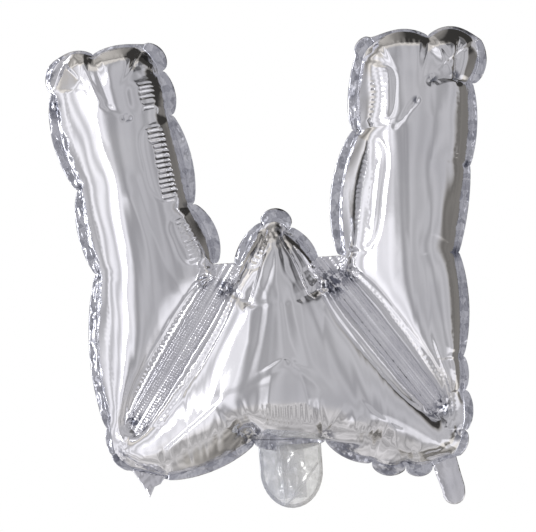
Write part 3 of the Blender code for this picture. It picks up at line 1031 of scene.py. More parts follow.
@dataclass
class Inflation:
    """Blows the film up: a cloth simulation under pressure, in air."""

    # The weld is drawn in over the first frames, to stretches that bow by a share of their length if
    # they are long enough, and held there weakly. Its last move onto the line is spread over the film
    # within a reach in millimetres, which is then smoothed by a push in and a push out each time.
    film: CutFilm
    frames: int = 40
    draw_in: int = 16
    pressure: float = 10.0
    scale: float = 0.01
    bow: float = 0.06
    bows_from: float = 15.0
    hold_pinch: float = 0.55
    hold_weld: float = 0.3
    reach: float = 20.0
    spreading: int = 160
    smoothing: int = 60
    push: tuple[float, float] = (0.6, -0.61)
    stiffness: dict[str, float] = field(default_factory=lambda: {
        "tension_stiffness": 200, "compression_stiffness": 50, "shear_stiffness": 50,
        "bending_stiffness": 0.1, "tension_damping": 5, "compression_damping": 5, "shear_damping": 5,
        "bending_damping": 0.5, "air_damping": 2.0, "pin_stiffness": 1.0,
    })

    def run(self) -> np.ndarray:
        """Blows the film up and finishes its weld.

        Returns:
            Where each point of the film ends up, in millimetres.
        """
        return self._drawn_onto_weld(self._blown())

    def _blown(self) -> np.ndarray:
        """Simulates the film.

        Returns:
            Where each point of the film ends up, in millimetres.
        """
        film = self.film
        mesh = bpy.data.meshes.new("film_flat")
        mesh.from_pydata((film.flat * self.scale).tolist(), [], film.faces.tolist())
        cloth = bpy.data.objects.new("film_flat", mesh)
        bpy.context.scene.collection.objects.link(cloth)
        cloth.shape_key_add(name="Basis")
        drawn = cloth.shape_key_add(name="drawn_in")
        goal = film.flat.copy()
        goal[film.joined] = self._goals()
        drawn.data.foreach_set("co", (goal * self.scale).astype(np.float32).ravel())
        for value, frame in ((0, 1), (1, 1 + self.draw_in)):
            drawn.value = value
            drawn.keyframe_insert("value", frame=frame)
        self._settings(cloth)
        scene = bpy.context.scene
        for frame in range(1, self.frames + 1):
            scene.frame_set(frame)
        shape = cloth.evaluated_get(bpy.context.evaluated_depsgraph_get()).to_mesh()
        result = np.zeros(len(film.flat) * 3, np.float32)
        shape.vertices.foreach_get("co", result)
        bpy.data.objects.remove(cloth, do_unlink=True)
        scene.frame_set(1)
        return result.reshape(-1, 3).astype(float) / self.scale

    def _goals(self) -> np.ndarray:
        """Where the weld is drawn while the film fills: its pinches, with an even bow between.

        Returns:
            A point in millimetres for each point of the weld.
        """
        weld, rows, t = self.film.weld, self.film.rows, self.film.along
        start = weld.shown[rows]
        way = np.roll(weld.shown, -1, 0)[rows] - start
        length = np.linalg.norm(way, axis=1)
        left = np.stack([-way[:, 1], way[:, 0]], 1) / length[:, None]
        bow = np.where(length > self.bows_from, self.bow * length, 0) * 4 * t * (1 - t)
        flat = start + way * t[:, None] + left * bow[:, None]
        return np.stack([flat[:, 0], np.zeros(len(flat)), flat[:, 1]], 1)

    def _settings(self, cloth: bpy.types.Object) -> None:
        """Gives the film its stiffness, its pressure and its weak hold on the weld.

        Args:
            cloth: The film.
        """
        film = self.film
        blown = cloth.vertex_groups.new(name="blown")
        blown.add([int(i) for i in np.unique(film.faces[film.sides != Side.WELDED.value])], 1.0, "REPLACE")
        held = cloth.vertex_groups.new(name="held")
        for point, t in zip(film.joined, film.along):
            held.add([int(point)], self.hold_pinch if t == 0 else self.hold_weld, "REPLACE")
        modifier = cloth.modifiers.new("blow", "CLOTH")
        settings = modifier.settings
        settings.quality = 8
        settings.mass = 0.3
        settings.bending_model = "ANGULAR"
        for name, value in self.stiffness.items():
            setattr(settings, name, value)
        settings.use_pressure = True
        settings.uniform_pressure_force = self.pressure
        settings.vertex_group_pressure = "blown"
        settings.vertex_group_mass = "held"
        settings.effector_weights.gravity = 0
        modifier.collision_settings.use_collision = False
        modifier.collision_settings.use_self_collision = False
        modifier.point_cache.frame_start = 1
        modifier.point_cache.frame_end = 250

    def _drawn_onto_weld(self, points: np.ndarray) -> np.ndarray:
        """Draws the weld onto its line, takes the film beside it along and smooths that.

        Args:
            points: The simulated points.

        Returns:
            The points after the move.
        """
        film = self.film
        goal = film.weld.shown_at(film.rows, film.along)
        points = points + np.array([1.0, 0.0, 1.0]) * (goal - points[film.joined]).mean(0)
        sheets = film.faces[film.sides != Side.WELDED.value]
        edges, _, _ = corner_pairs(sheets)
        uses = np.bincount(edges.ravel(), minlength=len(points)).clip(1)[:, None]
        move = np.zeros_like(points)
        move[film.joined] = goal - points[film.joined]
        hold = 1 / (1 + (film.step / self.reach) ** 2)
        for _ in range(self.spreading):
            move = around(move, edges) / uses * hold
            move[film.joined] = goal - points[film.joined]
        points = points + move
        for push in self.push * self.smoothing:
            points = points + (around(points, edges) / uses - points) * push
            points[film.joined] = goal
        return points


def around(values: np.ndarray, edges: np.ndarray) -> np.ndarray:
    """The sum of each point's neighbours.

    Args:
        values: Values, one row a point.
        edges: Pairs of points.

    Returns:
        The sums.
    """
    total = np.zeros_like(values)
    for column in range(values.shape[1]):
        total[:, column] = (
            np.bincount(edges[:, 0], values[edges[:, 1], column], len(values))
            + np.bincount(edges[:, 1], values[edges[:, 0], column], len(values))
        )
    return total


# Finer triangles, and what the film does between its pinches


def corner_pairs(faces: np.ndarray) -> tuple[np.ndarray, np.ndarray, np.ndarray]:
    """The edges of triangles.

    Args:
        faces: Triangles, one a row.

    Returns:
        The edges, each triangle's three edges (the one after each corner), and uses of each edge.
    """
    pairs = np.sort(np.stack([faces, np.roll(faces, -1, 1)], 2).reshape(-1, 2), 1)
    edges, index, uses = np.unique(pairs, axis=0, return_inverse=True, return_counts=True)
    return edges, index.reshape(-1, 3), uses


def finer(points: np.ndarray, faces: np.ndarray, chosen: np.ndarray) -> tuple[np.ndarray, np.ndarray]:
    """Splits chosen triangles in four and rounds the surface by Loop's rule.

    Args:
        points: Points with any number of columns.
        faces: Triangles.
        chosen: Which triangles to split.

    Returns:
        The new points and triangles.
    """
    edges, of_face, uses = corner_pairs(faces)
    split = np.zeros(len(edges), bool)
    split[of_face[chosen]] = True
    a, b = edges.T
    middle = (points[a] + points[b]) / 2
    across = np.zeros_like(middle)
    for k in range(3):
        np.add.at(across, of_face[:, k], points[faces[:, (k + 2) % 3]])
    inner = uses == 2
    middle[inner] = 0.375 * (points[a] + points[b])[inner] + 0.125 * across[inner]
    rounded = points.copy()
    total = len(points)
    touched = np.bincount(edges.ravel(), minlength=total)
    ready = np.bincount(edges[split].ravel(), minlength=total) == touched
    outer = edges[uses == 1]
    rim = np.bincount(outer.ravel(), minlength=total)
    n = np.maximum(touched, 3)[:, None]
    beta = np.where(n == 3, 3 / 16, 3 / (8 * n))
    whole = ready & (rim == 0) & (touched > 2)
    rounded[whole] = ((1 - n * beta) * points + beta * around(points, edges))[whole]
    border = ready & (rim == 2)
    rounded[border] = (0.75 * points + 0.125 * around(points, outer))[border]
    new_id = np.full(len(edges), -1)
    new_id[split] = total + np.arange(split.sum())
    return np.concatenate([rounded, middle[split]]), split_faces(faces, new_id[of_face])


def split_faces(faces: np.ndarray, middles: np.ndarray) -> np.ndarray:
    """Cuts triangles at the middles of some of their edges.

    Args:
        faces: Triangles.
        middles: The point on the edge after each corner, or -1 where it isn't cut.

    Returns:
        The new triangles.
    """
    cuts = (middles >= 0).sum(1)
    made = [faces[cuts == 0]]
    f, m = faces[cuts == 3], middles[cuts == 3]
    for corners in ((f[:, 0], m[:, 0], m[:, 2]), (m[:, 0], f[:, 1], m[:, 1]), (m[:, 2], m[:, 1], f[:, 2]),
                    (m[:, 0], m[:, 1], m[:, 2])):
        made.append(np.stack(corners, 1))
    for k in range(3):
        turn = [k, (k + 1) % 3, (k + 2) % 3]
        one = (cuts == 1) & (middles[:, k] >= 0)
        f, m = faces[one][:, turn], middles[one][:, k]
        made += [np.stack((f[:, 0], m, f[:, 2]), 1), np.stack((m, f[:, 1], f[:, 2]), 1)]
        two = (cuts == 2) & (middles[:, (k + 2) % 3] < 0)
        f, m0, m1 = faces[two][:, turn], middles[two][:, k], middles[two][:, (k + 1) % 3]
        made += [np.stack((m0, f[:, 1], m1), 1), np.stack((f[:, 0], m0, m1), 1)]
        made.append(np.stack((f[:, 0], m1, f[:, 2]), 1))
    return np.concatenate(made)


def normals_of(points: np.ndarray, faces: np.ndarray) -> np.ndarray:
    """Unit normals of a triangle mesh at its points.

    Args:
        points: Points, one a row.
        faces: Triangles.

    Returns:
        The normals, one a row.
    """
    a, b, c = (points[faces[:, k]] for k in range(3))
    face = np.cross(b - a, c - a)
    total = np.zeros_like(points)
    for k in range(3):
        for column in range(3):
            total[:, column] += np.bincount(faces[:, k], face[:, column], len(points))
    return total / np.maximum(np.linalg.norm(total, axis=1), 1e-12)[:, None]


def crumple(place: np.ndarray, size: float, seed: float) -> np.ndarray:
    """A crumpled height with sharp ridges over a film.

    Args:
        place: Points, x and z in millimetres.
        size: Size of the folds, in millimetres.
        seed: Which of many crumples.

    Returns:
        Heights, about -1 to 1.
    """
    heights = []
    for x, z in place / size:
        first = noise.noise(Vector((x, z, seed)))
        second = noise.noise(Vector((x * 2.1, z * 1.7, seed + 5)))
        heights.append((1 - 3.2 * abs(first)) * 0.75 + second * 0.6 - 0.25)
    return np.array(heights)


@dataclass
class Folds:
    """What the film does between its pinches: puffed lobes, folds, puckers, crumples and streaks."""

    weld: WeldLine
    # Lobes: how far each swells for its width, the widest that counts, half the width of the groove
    # beside it, all in millimetres, and the runs whose groove keeps its distance from the weld.
    puff: float = 0.065
    widest: float = 18.0
    groove: float = 2.0
    straight: frozenset[str] = frozenset({"leg_right_outer", "leg_left_outer", "peak_right"})
    # Puckers, in millimetres: from rung to rung, from change to change in them, and how deep a rung is.
    period: float = 4.0
    change: float = 4.0
    rung: float = 1.25
    # Streaks, in millimetres: how deep, and the sizes of wide and fine ones across and along.
    streak: float = 0.42
    streak_size: tuple[float, float] = (11.0, 170.0)
    fine_streak_size: tuple[float, float] = (4.0, 110.0)
    # Facets: how far film above one is pulled onto it, and the border in millimetres where that fades.
    facet_pull: float = 0.75
    facet_border: float = 1.4
    # The sizes of coarse and fine crumples, and how near the weld all depths fade, in millimetres.
    crumple_sizes: tuple[float, float] = (7.5, 3.4)
    fade: float = 1.8
    # How many points are worked out at a time.
    batch: int = 20000

    def depth_at(self, points: np.ndarray, flat: np.ndarray, side: Side) -> np.ndarray:
        """How far the folds push each point of the film in.

        Args:
            points: Points of the full balloon.
            flat: Where they are on the flat film, x and z.
            side: Which sheet they belong to.

        Returns:
            The depth, in millimetres.
        """
        place = points[:, [0, 2]]
        starts = range(0, len(place), self.batch)
        parts = (self.weld.beside(place[i:i + self.batch]) for i in starts)
        rows, t, far, spare = (np.concatenate(part) for part in zip(*parts))
        flat_far = -distance_to(self.weld.flat, flat)
        depth = self._lobes(rows, t, far, spare, side)
        for width, deep, left, line in FRONT_FOLDS if side is Side.FRONT else BACK_FOLDS:
            depth += self._fold(place, width, deep, left, np.array(line, float))
        if side is Side.FRONT:
            for corners, area in FACETS:
                depth += self._facet(points, np.array(corners, float), np.array(area, float))
            for steep, gentle, deep, left, line in TUCKS:
                depth += self._fold(place, gentle, deep, left, np.array(line, float), steep)
        for x, z, reach, deep in CRUMPLES:
            gap = np.hypot(place[:, 0] - x, place[:, 1] - z)
            near = np.nonzero(gap < reach)[0]
            fade = (1 - (gap[near] / reach) ** 2) ** 2
            coarse = crumple(flat[near], self.crumple_sizes[0], x * 0.1 + side.value * 3)
            fine = crumple(flat[near], self.crumple_sizes[1], z * 0.1)
            depth[near] += deep * 0.6 * fade * (coarse + 0.6 * fine)
        depth += self._streaks(place, flat_far, side)
        return depth * np.clip(flat_far / self.fade, 0, 1)

    def _lobes(self, rows: np.ndarray, t: np.ndarray, far: np.ndarray, spare: np.ndarray,
               side: Side) -> np.ndarray:
        """The puffed lobe beside each stretch, its boundary and its puckers.

        Args:
            rows: Nearest row of the plan.
            t: How far along it.
            far: How far inside the weld, as seen from the front.
            spare: How much farther the next nearest row is.
            side: Which sheet.

        Returns:
            The depth.
        """
        weld = self.weld
        length = np.linalg.norm(np.roll(weld.shown, -1, 0) - weld.shown, axis=1)
        arc, crest = weld.of_each("arc")[rows], weld.of_each("crest")[rows]
        straight = np.array([pinch.run in self.straight for pinch in weld.pinches])[rows]
        hump = np.sqrt(1 - np.abs(2 * t - 1) ** 3.2 + 1e-9)
        reach = np.maximum(arc * np.where(straight, 1, hump), 0.5)
        ends = np.clip(np.minimum(t, 1 - t) * length[rows] / (2.0 + 0.22 * far), 0, 1)
        ends = ends * ends * (3 - 2 * ends) * np.clip(spare / 3, 0, 1)
        ends = np.where(straight, 0.75 + 0.25 * ends, ends)
        u = far / reach
        tent = np.clip(np.minimum(u, 1 - (far - reach) / (1.3 * arc + 6)), 0, 1)
        swell = np.where(u < 1, 4 * u * (1 - u), 0) * self.puff * np.minimum(reach, self.widest)
        groove = np.exp(-(((far - reach) / self.groove) ** 2)) * np.clip(reach / 6, 0, 1)
        depth = ends * np.where(crest > 0, -crest * tent, -crest * groove - swell)
        s = (np.cumsum(length) - length)[rows] + t * length[rows]
        return depth + self._rungs(s, rows, ends, far, reach, side)

    def _rungs(self, s: np.ndarray, rows: np.ndarray, ends: np.ndarray, far: np.ndarray, reach: np.ndarray,
               side: Side) -> np.ndarray:
        """Fine puckers square to the weld, like the rungs of a ladder.

        Args:
            s: How far along the weld.
            rows: Nearest row of the plan.
            ends: Less than 1 near a pinch.
            far: How far from the weld.
            reach: Where the crease beside the weld lies.
            side: Which sheet.

        Returns:
            The depth.
        """
        rng = np.random.default_rng(17 + side.value)
        knots = np.arange(0, s.max() + 20, self.change)
        wander = np.interp(s, knots, rng.uniform(-0.22, 0.22, len(knots)))
        force = np.interp(s, knots, rng.uniform(0.55, 1.25, len(knots)))
        first = self.weld.of_each("near")[rows] + np.interp(s, knots, rng.uniform(-1.2, 1.2, len(knots)))
        last = self.weld.of_each("far")[rows] + np.interp(s, knots, rng.uniform(-1.6, 1.0, len(knots)))
        pucker = self.weld.of_each("pucker")[rows]
        last = np.where(pucker > 0.5, np.minimum(last, reach - 1.5), last)
        phase = s / self.period + wander
        share = np.clip((far - first) / np.maximum(last - first, 0.5), 0, 1)
        wide = 0.30 + 0.22 * share
        wedge = np.clip(1 - np.abs((phase % 1) - 0.5) / wide, 0, 1)
        window = np.clip((far - first) / 2.5, 0, 1) * np.clip((last - far) / 1.6, 0, 1)
        slow = np.cos(2 * math.pi * (s / (self.period * 1.6) + wander))
        close = np.clip(far / 1.5, 0, 1) * np.clip((6 - far) / 4, 0, 1)
        deep = self.rung * (0.5 + 0.5 * share) * wedge * window
        return pucker * ends * (force * deep + 0.06 * slow * close)

    def _fold(self, place: np.ndarray, width: float, deep: float, left: float, line: np.ndarray,
              steep: float | None = None) -> np.ndarray:
        """One fold along a line.

        Args:
            place: Points of the full balloon, x and z.
            width: Half the fold's width.
            deep: Its depth.
            left: Share of the depth that is left at the far end.
            line: The line's corners.
            steep: Width of the wall on the right of the line, where it differs.

        Returns:
            The depth it gives each point.
        """
        result = np.zeros(len(place))
        low, high = line.min(0) - width, line.max(0) + width
        near = np.nonzero(((place > low) & (place < high)).all(1))[0]
        part = place[near]
        best, share = np.full(len(part), np.inf), np.zeros(len(part))
        wide = np.full(len(part), float(width))
        lengths = np.linalg.norm(np.diff(line, axis=0), axis=1)
        starts = np.concatenate([[0], np.cumsum(lengths)])
        for start, end, before, length in zip(line, line[1:], starts, lengths):
            way = end - start
            t = np.clip((part - start) @ way / length**2, 0, 1)
            gap = np.linalg.norm(part - start - t[:, None] * way, axis=1)
            closer = gap < best
            best[closer] = gap[closer]
            share[closer] = (before + t * length)[closer] / starts[-1]
            if steep is not None:
                on_left = (part - start) @ np.array([-way[1], way[0]]) > 0
                wide[closer] = np.where(on_left, width, steep)[closer]
        u = np.clip(best / wide, 0, 1)
        result[near] = deep * (1 - (1 - left) * share) * (1 - u) ** 2 * (1 + 0.6 * u)
        return result

    def _facet(self, points: np.ndarray, corners: np.ndarray, area: np.ndarray) -> np.ndarray:
        """Pulls the film down onto a flat facet, where it stands above it.

        Args:
            points: Points of the full balloon.
            corners: Three points of the facet's plane, as x, z and height.
            area: Corners of the area it fills.

        Returns:
            The depth it gives each point.
        """
        result = np.zeros(len(points))
        place = points[:, [0, 2]]
        near = np.nonzero(((place > area.min(0)) & (place < area.max(0))).all(1))[0]
        plane = np.linalg.solve(np.column_stack([corners[:, :2], np.ones(3)]), corners[:, 2])
        above = -points[near, 1] - place[near] @ plane[:2] - plane[2]
        inside = np.clip(-distance_to(area, place[near]) / self.facet_border, 0, 1)
        result[near] = self.facet_pull * inside * (above + np.sqrt(above**2 + 0.5)) / 2
        return result

    def _streaks(self, place: np.ndarray, far: np.ndarray, side: Side) -> np.ndarray:
        """Long shallow waves that run down the legs and fan out from under the peak.

        Args:
            place: Points of the full balloon, x and z.
            far: How far from the weld.
            side: Which sheet.

        Returns:
            The depth.
        """
        x, z = place.T
        lean = np.where(x < 0, -0.10, 0.03)
        leg = x - lean * (z - 160)
        fan = np.arctan2(x - 2, 150 - np.minimum(z, 120)) * 75
        inner = np.clip((80 - np.abs(x)) / 30, 0, 1) * np.clip((130 - z) / 30, 0, 1)
        across = leg * (1 - inner) + fan * inner
        wave = np.zeros(len(place))
        for (wide, long), seed, share in (
            (self.streak_size, side.value * 9, 1.0),
            (self.fine_streak_size, 4, 0.16),
        ):
            places = (Vector((a / wide, b / long, seed)) for a, b in zip(across, z))
            wave += share * np.array([noise.noise(at) for at in places])
        return self.streak * wave * np.clip((far - 4) / 10, 0, 1)


def put(name: str, points: np.ndarray, faces: np.ndarray, finish: bpy.types.Material, slot: Slot,
        node: str, wall: float = 0.0) -> bpy.types.Object:
    """Makes a piece of film with a thin wall and sets it on the frame.

    Args:
        name: The piece's name.
        points: Points in millimetres.
        faces: Triangles.
        finish: Its material.
        slot: A slot of the record; not used.
        node: The CAD node it stands for.
        wall: Thickness in millimetres, half on each side, or 0 for bare film.

    Returns:
        The finished object.
    """
    used, place = numbered(faces, len(points))
    mesh = bpy.data.meshes.new(name)
    mesh.from_pydata((points[used] * MM).tolist(), [], place[faces].tolist())
    mesh.materials.append(finish)
    piece = bpy.data.objects.new(name, mesh)
    bpy.context.scene.collection.objects.link(piece)
    bpy.ops.object.select_all(action="DESELECT")
    piece.select_set(True)
    bpy.context.view_layer.objects.active = piece
    if wall:
        thick = piece.modifiers.new("wall", "SOLIDIFY")
        thick.thickness = wall * MM
        thick.offset = 0.0
        thick.use_even_offset = False
        bpy.ops.object.modifier_apply(modifier=thick.name)
    bpy.ops.object.shade_smooth()
    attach(piece, BODY)
    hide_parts(node)
    log.info("%s: %d faces", name, len(piece.data.polygons))
    return piece


@dataclass
class Envelope:
    """The two sheets of the blown-up film, more finely divided where they pucker."""

    # The front and the back are divided a second time this near the weld, in millimetres, and the front
    # a third time where the plan's pucker is strong.
    film: CutFilm
    shape: np.ndarray
    finish: bpy.types.Material
    fine_within: tuple[float, float] = (100.0, 16.0)
    strong_pucker: float = 0.5

    def build(self) -> list[bpy.types.Object]:
        """Makes both sheets.

        Returns:
            The pieces.
        """
        folds = Folds(self.film.weld)
        made = []
        for side, name, node in (
            (Side.FRONT, "front_film", "foil_front"),
            (Side.BACK, "back_film", "foil_back"),
        ):
            points, flat, faces = self._refined(self.film.faces[self.film.sides == side.value], side)
            depth = folds.depth_at(points, flat, side)
            points = points - normals_of(points, faces) * depth[:, None]
            piece = put(name, points, faces, self.finish, Slot.SILVER, node)
            self.film.size()
            self.film.area()
            made.append(piece)
        return made

    def _refined(self, faces: np.ndarray, side: Side) -> tuple[np.ndarray, np.ndarray, np.ndarray]:
        """Divides a sheet finely, and more so beside the weld.

        Args:
            faces: The sheet's triangles.
            side: Which sheet it is.

        Returns:
            Points, their flat places (x and z) and triangles.
        """
        weld = self.film.weld
        used, place = numbered(faces, len(self.shape))
        both = np.concatenate([self.shape[used], self.film.flat[used][:, [0, 2]]], 1)
        both, faces = finer(both, place[faces], np.ones(len(faces), bool))
        far = -distance_to(weld.flat, both[:, 3:])
        both, faces = finer(both, faces, far[faces].min(1) < self.fine_within[side.value])
        if side is Side.FRONT:
            rows, _, far, _ = weld.beside(both[:, [0, 2]])
            first, last = weld.of_each("near")[rows] - 1, weld.of_each("far")[rows] + 1
            wanted = (weld.of_each("pucker")[rows] > self.strong_pucker) & (far > first) & (far < last)
            both, faces = finer(both, faces, wanted[faces].any(1))
        edges, _, uses = corner_pairs(faces)
        border = np.unique(edges[uses == 1])
        rows, t, _ = weld.on_flat(both[border][:, 3:])
        both[border, :3] = weld.shown_at(rows, t)
        return both[:, :3], both[:, 3:], faces


@dataclass
class Edge:
    """The welded edge outside the weld, in lobes between its pinches."""

    # In millimetres: from point to point along the edge, how thick it is there and at the neck, and how
    # far each of the neck's two plies is moved from the middle. Then how many rows of points lie across
    # it, how deep a run crinkles and how far it leans to the back.
    weld: WeldLine
    finish: bpy.types.Material
    step: float = 1.5
    wall: float = 0.14
    neck_wall: float = 0.15
    neck_shift: float = 0.5
    levels: int = 7
    usual_crinkle: float = 0.8
    crinkles: dict[str, float] = field(default_factory=lambda: {
        "leg_left_outer": 1.9, "neck": 1.3, "peak_left": 1.2, "apex": 1.4, "foot_right": 1.2,
        "foot_left": 0.5, "leg_left_top": 0.35, "leg_right_top": 0.35, "leg_left_inner": 0.5,
        "leg_right_inner": 0.7,
    })
    leans: dict[str, float] = field(default_factory=lambda: {
        "leg_left_top": 0.62, "leg_right_top": 0.66, "leg_left_inner": 0.12, "leg_right_inner": 0.1,
        "bottom_right": 0.3, "bottom_left": 0.2, "neck": 0.35,
    })

    def build(self) -> list[bpy.types.Object]:
        """Makes every run of the edge, and the two plies at the neck.

        Returns:
            The pieces.
        """
        made = []
        for run in EDGE_RUNS:
            strip = self._strip(run)
            made.append(put(f"edge_{run}", *strip, self.finish, Slot.SILVER, f"rim_{run}", self.wall))
        points, faces = self._strip("neck")
        for shift, side in ((-self.neck_shift, "front"), (self.neck_shift, "back")):
            moved = points + np.array([0.0, shift, 0.0])
            made.append(put(f"edge_neck_{side}", moved, faces, self.finish, Slot.SILVER,
                            f"neck_lobe_{side}", self.neck_wall))
        return made

    def _strip(self, run: str) -> tuple[np.ndarray, np.ndarray]:
        """One run of the edge as a strip of lobes.

        Args:
            run: The run's name.

        Returns:
            Points and triangles.
        """
        weld = self.weld
        all_rows, all_t, all_line, all_out = weld.loop(self.step)
        chosen = np.nonzero(np.isin(all_rows, weld.rows_of(run)))[0]
        chosen = np.append(chosen, (chosen[-1] + 1) % len(all_rows))
        rows, t, line, outward = all_rows[chosen], all_t[chosen], all_line[chosen], all_out[chosen]
        rows[-1], t[-1] = rows[-2], 1.0
        here, following = weld.of_each("width")[rows], weld.of_each("width")[(rows + 1) % len(weld.pinches)]
        pinch = here + (following - here) * t
        width = pinch + (weld.of_each("lobe")[rows] - pinch) * (4 * t * (1 - t)) ** 0.6
        s = np.concatenate([[0], np.cumsum(np.linalg.norm(np.diff(line, axis=0), axis=1))])
        levels = np.linspace(0, 1, self.levels)
        rough = self.crinkles.get(run, self.usual_crinkle)
        points = []
        for level in levels:
            out = line[:, [0, 2]] + outward * (width * level)[:, None]
            fold = crumple(np.stack([s * 0.36, width * level * 0.8], 1), 6.0, rows[0] * 1.7)
            small = crumple(np.stack([s * 0.75, width * level], 1), 3.4, rows[0] * 0.9 + 40)
            lean = self.leans.get(run, 0.0) + np.sin(rows * 1.9 + 1) * 0.16
            lean = lean * width * level * np.clip(4 * t * (1 - t) + 0.3, 0, 1)
            crinkle = rough * (0.85 * fold + 0.4 * small) * np.clip(width * level / 2.5, 0, 1)
            height = line[:, 1] + crinkle + lean
            points.append(np.stack([out[:, 0], height, out[:, 1]], 1))
        n = len(line)
        faces = []
        for i in range(len(levels) - 1):
            for j in range(n - 1):
                a, b, c, d = i * n + j, i * n + j + 1, (i + 1) * n + j + 1, (i + 1) * n + j
                faces += [(a, b, c), (a, c, d)] if (i + j) % 2 else [(a, b, d), (b, c, d)]
        return np.concatenate(points), np.array(faces)


@dataclass
class Web:
    """The film that closes a slit, in long pleats with fine rungs beside its welds."""

    # In millimetres: the slit's top edge from x, z to x, z, the size of its triangles, from pleat to
    # pleat and how deep they are, and from rung to rung, how deep and how far from the weld.
    weld: WeldLine
    finish: bpy.types.Material
    run: str
    top: tuple[Point, Point]
    step: float = 0.85
    pleat: float = 5.2
    pleat_deep: float = 0.5
    bend_deep: float = 0.25
    rung: float = 2.3
    rung_deep: float = 0.32
    rung_place: float = 1.6
    wall: float = 0.3

    def build(self) -> bpy.types.Object:
        """Makes the web.

        Returns:
            The piece.
        """
        rows = self.weld.rows_of(self.run)
        corners = self.weld.shown[rows + [(rows[-1] + 1) % len(self.weld.pinches)]]
        outline = np.concatenate([corners, np.array(self.top)])
        points, faces = flat_piece(outline, self.step, 21)
        inside = -distance_to(outline, points)
        long = (corners[2] - corners[1]) / np.linalg.norm(corners[2] - corners[1])
        along = (points - corners[1]) @ long
        side = (points - corners[1]) @ np.array([-long[1], long[0]])
        bend = crumple(np.stack([side * 0.35, along * 0.05], 1), 4.0, rows[0] * 1.0)
        pleat = self.pleat_deep * np.cos(side * 2 * math.pi / self.pleat) + self.bend_deep * bend
        beside = np.clip((2.4 - np.abs(inside - self.rung_place)) / 1.2, 0, 1)
        ladder = np.sin(along * 2 * math.pi / self.rung) * beside * self.rung_deep
        depth = (pleat + ladder) * np.clip(inside / 1.0, 0, 1)
        shape = np.stack([points[:, 0], depth, points[:, 1]], 1)
        return put(f"slit_{self.run}", shape, faces, self.finish, Slot.SILVER, self.run, self.wall)


# Tail and tabs


@dataclass
class Tail:
    """The clear filling tail, swollen a little between its welded borders."""

    # In millimetres: its outline, welded border and thickness, the size of its triangles, how far each
    # ply stands off, swells, makes room for the sleeve, bends and creases, and its creases' lines.
    finish: bpy.types.Material
    middle: float = 1.0
    half_width: float = 25.0
    top: float = -1.0
    side_end: float = -22.0
    end: float = -51.5
    border: float = 3.0
    ply: float = 0.08
    step: float = 1.4
    gap: float = 0.3
    swell: float = 1.3
    channel: float = 0.9
    bend: float = 2.4
    crease: float = 1.1
    crease_width: float = 3.2
    creases: tuple[tuple[Point, Point], ...] = (
        ((-6.4, 0), (-6.4, -51)), ((23.4, -15.9), (-5.5, -50.7)),
        ((-25, -8), (8, -20)), ((8, -12), (24, -34)),
    )

    def _outline(self) -> np.ndarray:
        """The tail's outline.

        Returns:
            Corners in millimetres, from the top left one round its end.
        """
        turn = np.linspace(math.pi, 2 * math.pi, 25)
        deep = self.side_end - self.end
        bow = np.stack([self.middle + self.half_width * np.cos(turn), self.side_end + deep * np.sin(turn)], 1)
        sides = [[self.middle - self.half_width, self.top]], [[self.middle + self.half_width, self.top]]
        return np.concatenate([sides[0], bow, sides[1]])

    def build(self) -> list[bpy.types.Object]:
        """Makes both plies.

        Returns:
            The pieces.
        """
        outline = self._outline()
        points, faces = flat_piece(outline, self.step, 5)
        inside = -distance_to(outline, points)
        swell = np.clip((inside - self.border) / 7, 0, 1)
        bend = np.array([noise.noise(Vector((x / 26, z / 34, 2.0))) for x, z in points])
        creases = [(points - np.array(a)) @ (np.array([b[1] - a[1], a[0] - b[0]]) / math.dist(a, b))
                   for a, b in self.creases]
        made = []
        for side, name, node in ((-1, "tail_front_ply", "tail_front"), (1, "tail_back_ply", "tail_back")):
            fold = crumple(points, 15, 3.0 + side) * 1.3 + crumple(points, 5.5, 9.0 + side) * 0.45
            channel = self.channel * np.exp(-(((points[:, 0] - self.middle) / 9) ** 4))
            depth = side * (self.gap + swell * (self.swell + fold + channel))
            depth += self.bend * bend * np.clip(inside / 6, 0.3, 1)
            for off in creases:
                ridge = np.clip(1 - np.abs(off) / self.crease_width, 0, 1)
                depth += side * self.crease * ridge * np.clip(inside / 2, 0, 1)
            shape = np.stack([points[:, 0], depth, points[:, 1]], 1)
            outward = faces if side < 0 else faces[:, ::-1]
            piece = put(name, shape, outward, self.finish, Slot.CLEAR, node, self.ply)
            made.append(piece)
        return made


